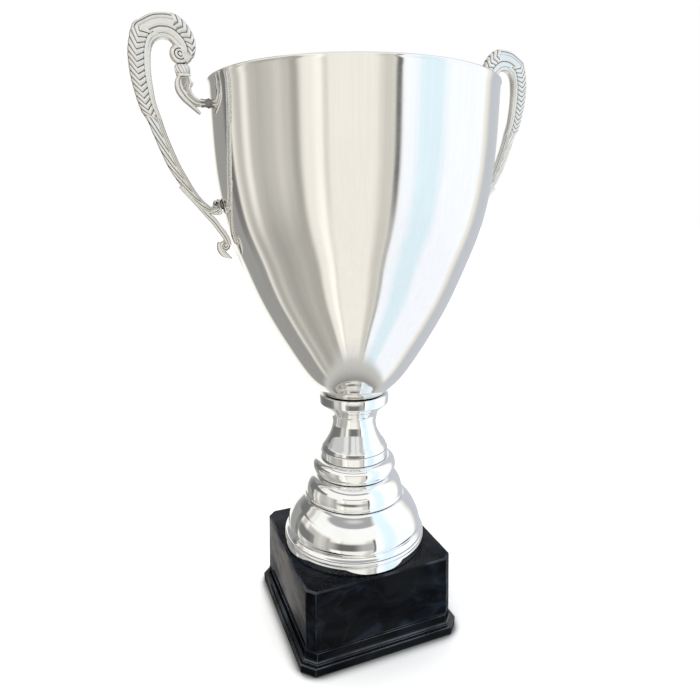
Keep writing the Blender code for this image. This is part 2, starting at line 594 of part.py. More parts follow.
def make_rod():
    """The tie rod, with a washer and a nut under the base and inside the bowl."""
    low_washer = TRAY_TOP - GAP - WASHER_THICKNESS
    low_nut = low_washer - GAP - NUT_HEIGHT
    high_washer = BOWL_BOTTOM + BOWL_WALL + GAP
    high_nut = high_washer + WASHER_THICKNESS + GAP
    rod = bmesh.new()
    cylinder(rod, ROD_RADIUS, max(low_nut, FELT_THICKNESS + GAP), high_nut + NUT_HEIGHT + 4 * MM)
    add_mesh("tie_rod", rod, ZINC)
    bore = ROD_RADIUS + THREAD_CLEARANCE
    for name, bottom in (("base_washer", low_washer), ("bowl_washer", high_washer)):
        add_mesh(name, ring_mesh(WASHER_RADIUS, bore, WASHER_THICKNESS, 24), ZINC).location.z = bottom
    for name, bottom in (("base_nut", low_nut), ("bowl_nut", high_nut)):
        nut = add_mesh(name, nut_mesh(NUT_ACROSS_FLATS, bore, NUT_HEIGHT), ZINC)
        nut.location.z = bottom
    gasket = ring_mesh(BOWL_SEAT_RADIUS + 0.4 * MM, BORE_RADIUS, SEAT_GASKET, 24)
    add_mesh("bowl_gasket", gasket, RUBBER).location.z = GASKET_BOTTOM


make_plinth()
make_base()
make_foot()
make_stem()
make_bowl()
make_rod()
make_right_handle(make_left_handle())
make_handle_screws()
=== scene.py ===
import math

import bpy
import numpy as np
from mathutils import Matrix, Vector


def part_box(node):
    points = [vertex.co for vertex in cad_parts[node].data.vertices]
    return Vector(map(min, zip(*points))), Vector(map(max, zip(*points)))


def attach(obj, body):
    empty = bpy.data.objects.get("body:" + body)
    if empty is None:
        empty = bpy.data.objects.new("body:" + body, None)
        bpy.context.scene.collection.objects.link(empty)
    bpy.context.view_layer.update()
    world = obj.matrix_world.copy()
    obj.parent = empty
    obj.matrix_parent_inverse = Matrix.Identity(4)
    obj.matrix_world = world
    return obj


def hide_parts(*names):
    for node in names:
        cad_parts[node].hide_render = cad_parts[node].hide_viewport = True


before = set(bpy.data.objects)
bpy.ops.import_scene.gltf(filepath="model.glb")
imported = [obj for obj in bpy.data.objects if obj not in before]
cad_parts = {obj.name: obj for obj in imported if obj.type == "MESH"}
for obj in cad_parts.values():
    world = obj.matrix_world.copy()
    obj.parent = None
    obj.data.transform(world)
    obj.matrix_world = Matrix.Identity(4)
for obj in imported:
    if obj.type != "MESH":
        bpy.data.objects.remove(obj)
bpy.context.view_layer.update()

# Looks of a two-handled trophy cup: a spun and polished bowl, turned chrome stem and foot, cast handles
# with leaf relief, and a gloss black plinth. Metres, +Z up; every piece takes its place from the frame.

MM = 0.001
WELD = 0.00002 * MM          # points closer than this are one point
SHARP_TURN = 16.0            # degrees; a line that turns less than this at a point is already smooth there
BODY = "root"


def low(node):
    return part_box(node)[0]


def high(node):
    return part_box(node)[1]


def height_of(node):
    return high(node).z - low(node).z


BOWL_FOOT = low("bowl").z


# ---------------------------------------------------------------------------------------------------
# Surfaces
# ---------------------------------------------------------------------------------------------------

def curve_through(points, steps):
    """A smooth line through the points (Catmull-Rom cubics), with the given number of steps in each span."""
    points = np.asarray(points, float)
    ends = np.vstack([2 * points[0] - points[1], points, 2 * points[-1] - points[-2]])
    a, b, c, d = (ends[k:len(ends) - 3 + k, None] for k in range(4))
    share = np.linspace(0, 1, steps, endpoint=False)[None, :, None]
    spans = b + 0.5 * share * (c - a + share * (2 * a - 5 * b + 4 * c - d
                                                + share * (3 * b - 3 * c + d - a)))
    return np.vstack([spans.reshape(-1, points.shape[1]), points[-1:]])


def softened(points, reach, steps=5, brace=0.25 * MM):
    """Rounds the sharp corners of a line: a quadratic curve leaves it `reach` before a corner and rejoins it
    as far after. One more point on both sides of each bend, `brace` further out, keeps the shading smooth."""
    points = np.asarray(points, float)
    corner = points[1:-1]
    back, ahead = points[:-2] - corner, points[2:] - corner
    back_length = np.linalg.norm(back, axis=1, keepdims=True)
    ahead_length = np.linalg.norm(ahead, axis=1, keepdims=True)
    back, ahead = back / back_length, ahead / ahead_length
    shorter = np.minimum(back_length, ahead_length)
    used = np.minimum(reach, 0.42 * shorter)
    outer = np.minimum(used + brace, 0.48 * shorter)
    t = np.linspace(0, 1, steps + 1)[None, :, None]
    bends = ((1 - t) ** 2 * (corner + back * used)[:, None] + 2 * t * (1 - t) * corner[:, None]
             + t ** 2 * (corner + ahead * used)[:, None])
    before, after = (corner + back * outer)[:, None], (corner + ahead * outer)[:, None]
    bends = np.concatenate([before, bends, after], axis=1)
    sharp = np.einsum("ij,ij->i", -back, ahead) < math.cos(math.radians(SHARP_TURN))
    bends[~sharp, 0] = corner[~sharp]
    keep = np.repeat(sharp[:, None], steps + 3, axis=1)
    keep[:, 0] = True
    return np.vstack([points[:1], bends[keep], points[-1:]])


def surface(name, grid, material, round_rows=False, round_columns=False, values=None, sharp=None):
    """Quads between neighbouring points of a grid (rows, columns, xyz), joined last to first where round.

    Points that coincide are welded, so rows that shrink to one point close the shape, and the faces are
    turned so that they enclose a positive volume. values is {attribute: array over the grid}."""
    rows, columns = grid.shape[:2]
    index = np.arange(rows * columns).reshape(rows, columns)
    if round_rows:
        index = np.vstack([index, index[:1]])
    if round_columns:
        index = np.hstack([index, index[:, :1]])
    quads = np.stack([index[:-1, :-1], index[:-1, 1:], index[1:, 1:], index[1:, :-1]], axis=-1).reshape(-1, 4)
    points = grid.reshape(-1, 3)
    a, b, c, d = (points[quads[:, k]] for k in range(4))
    volume = np.einsum("ij,ij->", a, np.cross(b, c)) + np.einsum("ij,ij->", a, np.cross(c, d))
    if volume < 0:
        quads = quads[:, ::-1]
    _, first, to_welded = np.unique(np.round(points / WELD).astype(np.int64), axis=0,
                                    return_index=True, return_inverse=True)
    quads = to_welded.reshape(-1)[quads]
    doubled = quads == np.roll(quads, -1, axis=1)
    whole = quads[~doubled.any(axis=1)]
    folded = quads[doubled.sum(axis=1) == 1]
    triangles = folded[~(folded == np.roll(folded, -1, axis=1))].reshape(-1, 3)
    mesh = bpy.data.meshes.new(name)
    mesh.from_pydata(points[first].tolist(), [], [*whole.tolist(), *triangles.tolist()])
    for attribute, array in (values or {}).items():
        layer = mesh.attributes.new(attribute, "FLOAT", "POINT")
        layer.data.foreach_set("value", array.reshape(-1)[first].astype(np.float32))
    mesh.materials.append(material)
    mesh.shade_smooth()
    if sharp:
        mesh.set_sharp_from_angle(angle=math.radians(sharp))
    mesh.update()
    piece = bpy.data.objects.new(name, mesh)
    bpy.context.scene.collection.objects.link(piece)
    return piece


def placed(piece, slot, *nodes):
    """Moves the piece with the one rigid body, and hides the CAD nodes it stands for. slot is not used."""
    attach(piece, BODY)
    if nodes:
        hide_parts(*nodes)
    return piece


def turned(name, profile, material, steps, place=None, shade_and_patina=None):
    """A closed profile of (radius, height) carried round the Z axis: x = r cos a, y = r sin a, z = h.

    place is a matrix that puts the finished shape elsewhere; the last argument is one value of painted shade,
    with some patina, for all of it."""
    profile = np.asarray(profile, float)
    angle = np.linspace(0, 2 * np.pi, steps, endpoint=False)
    grid = np.stack([profile[:, :1] * np.cos(angle), profile[:, :1] * np.sin(angle),
                     np.repeat(profile[:, 1:], steps, axis=1)], axis=-1)
    if place is not None:
        place = np.array(place)
        grid = grid @ place[:3, :3].T + place[:3, 3]
    values = None if shade_and_patina is None else {"shade_and_patina": np.full(grid.shape[:2], shade_and_patina)}
    return surface(name, grid, material, round_rows=True, round_columns=True, values=values)


# ---------------------------------------------------------------------------------------------------
# Shader helpers
# ---------------------------------------------------------------------------------------------------

def node(tree, kind, inputs=None, **settings):
    """A new shader node. inputs maps a socket's name or number to a plain value or another node's output."""
    made = tree.nodes.new("ShaderNode" + kind)
    for key, value in settings.items():
        setattr(made, key, value)
    for key, value in (inputs or {}).items():
        if isinstance(value, bpy.types.NodeSocket):
            tree.links.new(value, made.inputs[key])
        else:
            made.inputs[key].default_value = value
    return made


def maths(tree, operation, a, b=0.0):
    return node(tree, "Math", {0: a, 1: b}, operation=operation).outputs[0]


def mixed(tree, share, a, b):
    """Colour a where share is 0, colour b where it is 1."""
    return node(tree, "Mix", {0: share, 6: a, 7: b}, data_type="RGBA").outputs[2]


def blended(tree, share, a, b):
    """Value a where share is 0, value b where it is 1."""
    return node(tree, "Mix", {0: share, 2: a, 3: b}).outputs[0]


def between(tree, value, start, end, low_value=0.0, high_value=1.0):
    """A smooth step from low_value at start to high_value at end."""
    settings = {0: value, 1: start, 2: end, 3: low_value, 4: high_value}
    return node(tree, "MapRange", settings, interpolation_type="SMOOTHSTEP").outputs[0]


def noise(tree, vector, scale, detail=2.0, roughness=0.5, distortion=0.0):
    settings = {"Vector": vector, "Scale": scale, "Detail": detail, "Roughness": roughness,
                "Distortion": distortion}
    return node(tree, "TexNoise", settings).outputs[0]


def stretched(tree, vector, scale):
    """The vector with each of its parts scaled, which stretches a pattern along the small ones."""
    return node(tree, "Mapping", {0: vector, 3: scale}).outputs[0]


def own_place(tree):
    """The piece's own coordinates, in metres from the cup's foot."""
    return node(tree, "TexCoord").outputs["Object"]


def raised(tree, value, mask, most):
    """The value, and up to `most` more where the mask is 1."""
    return maths(tree, "ADD", value, maths(tree, "MULTIPLY", mask, most))


def tinged(tree, tone, mask, share, colour):
    """The tone, taken towards a colour by up to `share` where the mask is 1."""
    return mixed(tree, maths(tree, "MULTIPLY", mask, share), tone, colour)


def coloured(tree, shader, tone, rough):
    """Feeds the colour and the roughness to the shader."""
    tree.links.new(tone, shader.inputs["Base Color"])
    tree.links.new(rough, shader.inputs["Roughness"])


def new_group(name, inputs, outputs):
    """An empty node group: inputs are {name: (low, high, usual value)}, outputs are names."""
    group = bpy.data.node_groups.new(name, "ShaderNodeTree")
    for socket, (least, most, usual) in inputs.items():
        made = group.interface.new_socket(name=socket, in_out="INPUT", socket_type="NodeSocketFloat")
        made.min_value = least
        made.max_value = most
        made.default_value = usual
    for socket in outputs:
        group.interface.new_socket(name=socket, in_out="OUTPUT", socket_type="NodeSocketFloat")
    start = group.nodes.new("NodeGroupInput")
    end = group.nodes.new("NodeGroupOutput")
    return group, start, end


def use_group(tree, group, **values):
    made = tree.nodes.new("ShaderNodeGroup")
    made.node_tree = group
    for key, value in values.items():
        made.inputs[key].default_value = value
    return made.outputs


def make_turning_marks():
    """Rings left by the spinning tool and the buff: noise that changes fast with height, hardly round it."""
    group, start, end = new_group("turning_marks", {"Rings": (0, 20000, 900), "Run": (0, 1000, 12)},
                                  ["Height", "Mask"])
    place = own_place(group)
    split = node(group, "SeparateXYZ", {0: place}).outputs
    run = start.outputs["Run"]
    around = node(group, "CombineXYZ", {0: maths(group, "MULTIPLY", split[0], run),
                                        1: maths(group, "MULTIPLY", split[1], run),
                                        2: maths(group, "MULTIPLY", split[2], start.outputs["Rings"])})
    rings = noise(group, around.outputs[0], 1.0, detail=3, roughness=0.6)
    group.links.new(rings, end.inputs["Height"])
    group.links.new(between(group, rings, 0.42, 0.62), end.inputs["Mask"])
    return group


def make_handling_marks():
    """Soft smears and fine specks left by cloths and fingers."""
    group, start, end = new_group("handling_marks", {"Size": (0, 1000, 30)}, ["Smear", "Specks"])
    place = own_place(group)
    tall = stretched(group, place, (1, 1, 0.45))
    smear = noise(group, tall, start.outputs["Size"], detail=4, roughness=0.6, distortion=0.6)
    group.links.new(between(group, smear, 0.42, 0.68), end.inputs["Smear"])
    specks = noise(group, place, 2600.0, detail=1)
    group.links.new(between(group, specks, 0.70, 0.78), end.inputs["Specks"])
    return group


def make_hand_waviness():
    """The slight unevenness of hand-finished sheet: slow swells drawn out up and down the wall."""
    sizes = {"Swell": (0, 1000, 22), "Ripple": (0, 2000, 120)}
    group, start, end = new_group("hand_waviness", sizes, ["Height"])
    place = own_place(group)
    tall = stretched(group, place, (1, 1, 0.22))
    swell = noise(group, tall, start.outputs["Swell"], detail=1)
    ripple = noise(group, tall, start.outputs["Ripple"], detail=2)
    group.links.new(blended(group, 0.05, swell, ripple), end.inputs["Height"])
    return group


TURNING = make_turning_marks()
HANDLING = make_handling_marks()
WAVINESS = make_hand_waviness()


def new_material(name, **constants):
    """A material whose Principled shader has the given plain values; its tree and shader are returned too."""
    material = bpy.data.materials.new(name)
    material.use_nodes = True
    tree = material.node_tree
    shader = tree.nodes["Principled BSDF"]
    for key, value in constants.items():
        shader.inputs[key.replace("_", " ").title().replace("Ior", "IOR")].default_value = value
    return material, tree, shader


def bumped(tree, shader, height, distance, strength=1.0, after=None):
    """Feeds a height, in units of distance, to the shader's normal; a second bump can follow a first."""
    settings = {"Height": height, "Distance": distance, "Strength": strength}
    if after is not None:
        settings["Normal"] = after
    made = node(tree, "Bump", settings).outputs[0]
    tree.links.new(made, shader.inputs["Normal"])
    return made


def polished_nickel():
    """Bowl: warm bright plate, with faint upright buffing streaks, spinning rings and a slight waviness."""
    material, tree, shader = new_material("polished_nickel", metallic=1.0)
    place = own_place(tree)
    streaks = noise(tree, stretched(tree, place, (1, 1, 0.02)), 420.0, detail=3, roughness=0.65)
    marks = use_group(tree, TURNING, Rings=1500.0, Run=6.0)
    handled = use_group(tree, HANDLING, Size=26.0)
    streaky = between(tree, streaks, 0.35, 0.65)
    tone = mixed(tree, streaky, (0.840, 0.830, 0.805, 1), (0.862, 0.853, 0.832, 1))
    tone = tinged(tree, tone, handled["Smear"], 0.10, (0.70, 0.69, 0.66, 1))
    rough = blended(tree, between(tree, streaks, 0.3, 0.7), 0.034, 0.056)
    rough = raised(tree, rough, handled["Smear"], 0.035)
    rough = raised(tree, rough, marks["Mask"], 0.012)
    height = node(tree, "SeparateXYZ", {0: place}).outputs[2]
    near_seat = between(tree, height, BOWL_FOOT + 40 * MM, BOWL_FOOT + 8 * MM)
    rough = raised(tree, rough, near_seat, 0.03)
    coloured(tree, shader, tone, rough)
    wavy = bumped(tree, shader, use_group(tree, WAVINESS, Swell=20.0, Ripple=110.0)["Height"], 0.20 * MM)
    bumped(tree, shader, marks["Height"], 0.0012 * MM, after=wavy)
    return material


def bright_chrome():
    """Stem and foot: mirror chrome, with the faintest rings, a few specks of dust and a film of handling."""
    material, tree, shader = new_material("bright_chrome", metallic=1.0)
    marks = use_group(tree, TURNING, Rings=2200.0, Run=8.0)
    handled = use_group(tree, HANDLING, Size=48.0)
    filmed = maths(tree, "MULTIPLY", handled["Smear"], 0.35)
    tone = mixed(tree, filmed, (0.900, 0.905, 0.905, 1), (0.80, 0.80, 0.79, 1))
    tone = tinged(tree, tone, handled["Specks"], 0.5, (0.55, 0.55, 0.54, 1))
    rough = blended(tree, handled["Smear"], 0.022, 0.060)
    rough = raised(tree, rough, handled["Specks"], 0.2)
    coloured(tree, shader, tone, rough)
    wavy = bumped(tree, shader, use_group(tree, WAVINESS, Swell=45.0, Ripple=260.0)["Height"], 0.05 * MM)
    bumped(tree, shader, marks["Height"], 0.0008 * MM, after=wavy)
    return material


def satin_cast_nickel():
    """Handles: pale satin plate over cast zinc, duller where the relief is cut deep, and darkened there by
    painted shade with some patina.
    """
    material, tree, shader = new_material("satin_cast_nickel", metallic=1.0)
    place = own_place(tree)
    deep = node(tree, "Attribute", attribute_name="shade_and_patina").outputs["Fac"]
    handled = use_group(tree, HANDLING, Size=90.0)
    # Painted shade with some patina: grooves, rims and fixings are darkened almost to black.
    cut = between(tree, deep, 0.25, 0.95)
    tone = mixed(tree, cut, (0.82, 0.805, 0.772, 1), (0.085, 0.081, 0.075, 1))
    tone = tinged(tree, tone, handled["Smear"], 0.18, (0.60, 0.585, 0.55, 1))
    grain = noise(tree, place, 3400.0, detail=3, roughness=0.6)
    rough = blended(tree, between(tree, deep, 0.1, 0.9), 0.27, 0.52)
    rough = raised(tree, rough, grain, 0.10)
    coloured(tree, shader, tone, rough)
    bumped(tree, shader, grain, 0.02 * MM)
    return material


def black_marble_gloss(name, cloud_strength, coat_ior, coat_low, coat_high):
    """Plinth: gloss black with drifting blue-grey clouds, thin veins, fine dust on flat tops and pale edges,
    which the attribute "edge" marks: partly wear, partly a painted highlight. The coat's weight grows where
    the surface looks up, a painted reflection that is strong on tops and the cove and weak on upright sides."""
    material, tree, shader = new_material(name, specular_ior_level=0.0, coat_ior=coat_ior,
                                          coat_roughness=0.03)
    place = own_place(tree)
    drift = noise(tree, place, 15.0, detail=3, roughness=0.5, distortion=0.4)
    sideways = maths(tree, "MULTIPLY", drift, 0.05)
    upwards = maths(tree, "MULTIPLY", drift, 0.03)
    shift = node(tree, "CombineXYZ", {0: sideways, 2: upwards}).outputs[0]
    bent = node(tree, "VectorMath", {0: place, 1: shift}, operation="ADD").outputs[0]
    clouds = noise(tree, stretched(tree, bent, (1, 1, 1.9)), 26.0, detail=5, roughness=0.62, distortion=0.9)
    cloudy = between(tree, clouds, 0.44, 0.74)
    veins = maths(tree, "ABSOLUTE", maths(tree, "SUBTRACT", noise(tree, bent, 21.0, detail=3), 0.5))
    vein = between(tree, veins, 0.0, 0.02, 1.0, 0.0)
    clouded = maths(tree, "MULTIPLY", cloudy, cloud_strength)
    tone = mixed(tree, clouded, (0.0010, 0.0011, 0.0018, 1), (0.0100, 0.0140, 0.0230, 1))
    tone = tinged(tree, tone, vein, 0.06 * cloud_strength, (0.04, 0.05, 0.065, 1))
    handled = use_group(tree, HANDLING, Size=34.0)
    dust = noise(tree, place, 1500.0, detail=2)
    upward = node(tree, "SeparateXYZ", {0: node(tree, "NewGeometry").outputs["Normal"]}).outputs[2]
    settled = maths(tree, "MULTIPLY", between(tree, upward, 0.75, 0.98), between(tree, dust, 0.50, 0.66))
    tone = tinged(tree, tone, settled, 0.20, (0.10, 0.115, 0.13, 1))
    patchy_edges = between(tree, noise(tree, place, 45.0, detail=3), 0.42, 0.66, 0.10, 1.0)
    edge = node(tree, "Attribute", attribute_name="edge").outputs["Fac"]
    pale_edge_wear_and_highlight = maths(tree, "MULTIPLY", edge, patchy_edges)
    # Pale edges: partly wear, partly a painted highlight along the bevels, broken up in patches.
    tone = mixed(tree, pale_edge_wear_and_highlight, tone, (0.060, 0.072, 0.088, 1))
    rough = raised(tree, 0.035, handled["Smear"], 0.05)
    rough = raised(tree, rough, settled, 0.12)
    rough = raised(tree, rough, cloudy, 0.02)
    coloured(tree, shader, tone, rough)
    flattened = stretched(tree, bent, (1, 1, 2.2))
    lacquer = noise(tree, flattened, 15.0, detail=4, roughness=0.55, distortion=0.3)
    lacquer = between(tree, lacquer, 0.36, 0.62, 0.35, 1.0)
    # Painted reflection: the coat is weighted by how far the surface looks up, so the cove and tops reflect
    # strongly and upright sides hardly.
    painted_sheen_by_facing = between(tree, upward, 0.15, 0.60, coat_low, coat_high)
    tree.links.new(maths(tree, "MULTIPLY", lacquer, painted_sheen_by_facing), shader.inputs["Coat Weight"])
    peel = noise(tree, place, 210.0, detail=2)
    bumped(tree, shader, peel, 0.012 * MM)
    return material


def zinc_plate():
    """Nuts, washers, screws and rod: dull silver zinc with fine machining lines and small stains."""
    material, tree, shader = new_material("zinc_plate", metallic=1.0)
    marks = use_group(tree, TURNING, Rings=5200.0, Run=300.0)
    handled = use_group(tree, HANDLING, Size=160.0)
    tone = mixed(tree, handled["Smear"], (0.66, 0.67, 0.68, 1), (0.50, 0.50, 0.48, 1))
    tone = tinged(tree, tone, marks["Mask"], 0.25, (0.42, 0.42, 0.42, 1))
    coloured(tree, shader, tone, blended(tree, handled["Smear"], 0.24, 0.42))
    bumped(tree, shader, marks["Height"], 0.01 * MM)
    return material


def black_rubber():
    """Gasket: matt black with a fine moulded grain."""
    material, tree, shader = new_material("black_rubber", specular_ior_level=0.35)
    grain = noise(tree, own_place(tree), 2400.0, detail=3)
    tone = mixed(tree, grain, (0.010, 0.010, 0.010, 1), (0.030, 0.030, 0.030, 1))
    coloured(tree, shader, tone, blended(tree, grain, 0.55, 0.80))
    bumped(tree, shader, grain, 0.03 * MM)
    return material


def short_felt():
    """Pad under the base: short black fibres that lie in every direction, with a little lint."""
    material, tree, shader = new_material("short_felt", specular_ior_level=0.15, sheen_weight=0.35,
                                          sheen_roughness=0.6)
    place = own_place(tree)
    along, across = (stretched(tree, place, squeeze) for squeeze in ((1, 3.5, 1), (3.5, 1, 1)))
    fibres, cross = (noise(tree, lie, 1500.0, detail=4, roughness=0.7, distortion=1.4)
                     for lie in (along, across))
    pile = maths(tree, "MAXIMUM", fibres, cross)
    lint = use_group(tree, HANDLING, Size=60.0)["Specks"]
    tone = mixed(tree, between(tree, pile, 0.40, 0.75), (0.006, 0.006, 0.007, 1), (0.040, 0.040, 0.044, 1))
    tone = tinged(tree, tone, lint, 0.5, (0.20, 0.20, 0.20, 1))
    coloured(tree, shader, tone, blended(tree, pile, 0.85, 1.0))
    bumped(tree, shader, pile, 0.25 * MM)
    return material


def rough_cement():
    """Ballast: grey cement with sand grains and small air holes."""
    material, tree, shader = new_material("rough_cement", specular_ior_level=0.2)
    place = own_place(tree)
    sand = noise(tree, place, 900.0, detail=4, roughness=0.7)
    patches = noise(tree, place, 60.0, detail=3)
    holes = node(tree, "TexVoronoi", {"Vector": place, "Scale": 260.0}).outputs["Distance"]
    hole = between(tree, holes, 0.10, 0.22, 1.0, 0.0)
    tone = mixed(tree, patches, (0.30, 0.29, 0.27, 1), (0.44, 0.43, 0.40, 1))
    tone = mixed(tree, between(tree, sand, 0.35, 0.70), tone, (0.52, 0.50, 0.46, 1))
    # Painted shade: the air holes are coloured dark for the shade inside them.
    tone = mixed(tree, hole, tone, (0.12, 0.12, 0.11, 1))
    coloured(tree, shader, tone, blended(tree, sand, 0.80, 1.0))
    bumped(tree, shader, maths(tree, "SUBTRACT", sand, hole), 0.4 * MM)
    return material


NICKEL = polished_nickel()
CHROME = bright_chrome()
CAST = satin_cast_nickel()
PLINTH_BLACK = black_marble_gloss("black_marble_gloss", 1.0, 1.24, 0.65, 0.85)
BASE_BLACK = black_marble_gloss("black_gloss_moulding", 0.35, 1.62, 0.12, 1.0)
ZINC = zinc_plate()
RUBBER = black_rubber()
FELT = short_felt()
CEMENT = rough_cement()


# ---------------------------------------------------------------------------------------------------
# Bowl
# ---------------------------------------------------------------------------------------------------

BORE = 4.5 * MM              # hole for the tie rod through every piece of the stack
BOWL_STEPS = 288
STEM_STEPS = 224
BOWL_HEIGHT = high("bowl").z - BOWL_FOOT
BOWL_WALL = 1.2 * MM
RIM_BEAD = 1.1 * MM
RIM_RADIUS = high("bowl").y - RIM_BEAD / 2
SEAT_RADIUS = 24.8 * MM
# Share of the height, and share of the way from the seat's radius to the rim's
BOWL_CURVE = ((0, 0), (0.071, 0.195), (0.194, 0.421), (0.317, 0.610), (0.440, 0.760),
              (0.563, 0.888), (0.686, 0.961), (0.809, 0.992), (1, 1))


def bowl_radius(height):
    """Outer radius of the bowl at a height above its seat."""
    curve = curve_through(BOWL_CURVE, 24)
    share = np.interp(height / BOWL_HEIGHT, curve[:, 0], curve[:, 1])
    return SEAT_RADIUS + share * (RIM_RADIUS - SEAT_RADIUS)


def bowl_slope(height):
    """How fast the bowl's radius grows with height."""
    step = 0.5 * MM
    return (bowl_radius(height + step) - bowl_radius(height - step)) / (2 * step)


def make_bowl():
    """Outside r(h) on the bowl's curve, inside r(h) less the wall square to it, a rolled bead at the rim."""
    curve = curve_through(BOWL_CURVE, 14)
    heights = curve[curve[:, 0] * BOWL_HEIGHT < BOWL_HEIGHT - 2.0 * RIM_BEAD, 0] * BOWL_HEIGHT
    outside = np.stack([bowl_radius(heights), heights], axis=1)
    turn = np.radians(np.linspace(-40, 232, 20))
    bead = np.stack([RIM_RADIUS - RIM_BEAD / 2 + RIM_BEAD * np.cos(turn),
                     BOWL_HEIGHT - RIM_BEAD + RIM_BEAD * np.sin(turn)], axis=1)
    wall = BOWL_WALL * np.hypot(1, bowl_slope(heights))
    inside = np.stack([bowl_radius(heights) - wall, heights], axis=1)
    inside = inside[inside[:, 1] > 3.5 * BOWL_WALL][::-1]
    floor = softened([inside[-1], (inside[-1, 0] - 3.4 * MM, BOWL_WALL), (BORE, BOWL_WALL)], 3.0 * MM, 10)
    profile = np.vstack([outside, bead, inside[:-1], floor, [(BORE, 0)]])
    profile[:, 1] += BOWL_FOOT
    placed(turned("bowl_shell", profile, NICKEL, BOWL_STEPS), "bowl_metal", "bowl")


# ---------------------------------------------------------------------------------------------------
# Stem and foot
# ---------------------------------------------------------------------------------------------------

def stem_piece(name, node_name, outside, web=1.8 * MM, fillet=0.35 * MM):
    """A hollow turned piece: its outside from foot to top, a bored web, and a wall that follows it inside."""
    outside = np.asarray(outside, float)
    height = outside[-1, 1]
    inner_top = height - web
    levels = np.linspace(0, inner_top, 9)[::-1]
    inner = np.interp(levels, outside[:, 1], np.minimum.accumulate(outside[::-1, 0])[::-1] - web)
    inner = np.maximum(inner, BORE + web)
    bore = [(BORE, height), (BORE, inner_top)]
    line = np.vstack([outside, bore, np.stack([inner, levels], axis=1)])
    profile = softened(np.vstack([line[-1:], line, line[:1]]), fillet)[1:-1]
    profile[:, 1] += low(node_name).z
    placed(turned(name, profile, CHROME, STEM_STEPS), "stem_chrome", node_name)


def make_stem():
    collar_height = height_of("stem_collar")
    collar = high("stem_collar").x
    throat = 23.2 * MM
    lip = BOWL_FOOT - low("stem_collar").z - 0.35 * MM       # stands round the gasket, just clear of the bowl
    outside = [(throat, 0), (collar - 0.5 * MM, 3.7 * MM), (collar, 4.5 * MM),
               (collar, collar_height - 0.7 * MM), (collar - 0.5 * MM, lip), (collar - 4.0 * MM, lip),
               (collar - 4.0 * MM, collar_height)]
    stem_piece("collar", "stem_collar", outside, fillet=0.45 * MM)
    neck_height = height_of("stem_neck")
    waist = 17.7 * MM
    foot = high("stem_neck").x
    flare = foot - waist
    open_top = 22.6 * MM - waist
    shares = ((foot, 0), (waist + 0.85 * flare, 0.10), (waist + 0.53 * flare, 0.22),
              (waist + 0.17 * flare, 0.40), (waist, 0.61), (waist + 0.24 * open_top, 0.81),
              (waist + 0.55 * open_top, 0.91), (waist + open_top, 1))
    stem_piece("neck", "stem_neck", curve_through(shares, 14) * (1, neck_height))
    band_height = height_of("stem_band")
    band = high("stem_band").x
    stem_piece("band", "stem_band", [(band - 0.2 * MM, 0), (band, 0.4 * MM), (band, band_height - 0.5 * MM),
                                     (band - 0.5 * MM, band_height)])
    knop_height = height_of("stem_knop")
    knop_neck = 27.6 * MM
    bulge = high("stem_knop").x - knop_neck
    a = np.radians(np.linspace(-90, 90, 49))
    stem_piece("knop", "stem_knop", np.stack([knop_neck + bulge * np.cos(a),
                                              knop_height / 2 * (1 + np.sin(a))], axis=1))


def make_foot():
    """Shoulder with a bead at its foot, dome with a cove under it, and the ring that stands on the plinth."""
    rise_to = height_of("foot_shoulder")
    widest = high("foot_shoulder").x
    top = 29.2 * MM
    bead = 1.6 * MM
    a = np.radians(np.linspace(84, 0, 36))
    slope = np.stack([top + (widest - 1 * MM - top) * np.sin(a),
                      4.4 * MM + (rise_to - 4.4 * MM) * np.cos(a) ** 1.25], axis=1)
    b = np.radians(np.linspace(-60, 62, 16))
    beading = np.stack([widest - bead + bead * np.cos(b), 1.9 * MM + bead * np.sin(b)], axis=1)
    outside = np.vstack([[(widest - 1.2 * MM, 0)], beading, slope])
    stem_piece("shoulder", "foot_shoulder", outside, fillet=0.2 * MM)

    height = height_of("foot_dome")
    foot = high("foot_dome").x
    belly = foot - 1.6 * MM
    neck = 40.9 * MM
    swell = belly - neck
    shares = ((foot, 0), (belly - 0.6 * MM, 0.10), (belly, 0.24), (neck + 0.86 * swell, 0.46),
              (neck + 0.55 * swell, 0.72), (neck + 0.13 * swell, 0.94), (neck, 1))
    stem_piece("dome", "foot_dome", curve_through(shares, 16) * (1, height), fillet=0.2 * MM)

    height = height_of("foot_ring")
    widest = high("foot_ring").x
    bead = 1.6 * MM
    a = np.radians(np.linspace(-50, 90, 20))
    beading = np.stack([widest - bead - 0.4 * MM + bead * np.cos(a),
                        height - bead + bead * np.sin(a)], axis=1)
    step = [(widest - 0.4 * MM, 0), (widest, 1.0 * MM), (widest - 0.3 * MM, height - 3.8 * MM),
            (widest - 1.1 * MM, height - 3.4 * MM)]
    stem_piece("ring", "foot_ring", np.vstack([step, beading]), fillet=0.3 * MM)


# ---------------------------------------------------------------------------------------------------
# Plinth
# ---------------------------------------------------------------------------------------------------

def cornered_outline(half, corner, blunt=0.5 * MM):
    """The outline of a square with its corners cut off at 45 degrees and all eight edges slightly blunted."""
    flat = half - corner
    corners = np.array([(half, -flat), (half, flat), (flat, half), (-flat, half),
                        (-half, flat), (-half, -flat), (-flat, -half), (flat, -half)])
    return softened(np.vstack([corners[-1:], corners, corners[:1]]), blunt, brace=0.6 * MM)[1:-1]


def bend_marks(line):
    """1 at the points where a closed line turns, 0 where it runs straight."""
    run = line - np.roll(line, 1, axis=0)
    run = run / np.linalg.norm(run, axis=1, keepdims=True)
    turn = np.einsum("ij,ij->i", run, np.roll(run, -1, axis=0))
    return (turn < math.cos(math.radians(6))).astype(float)


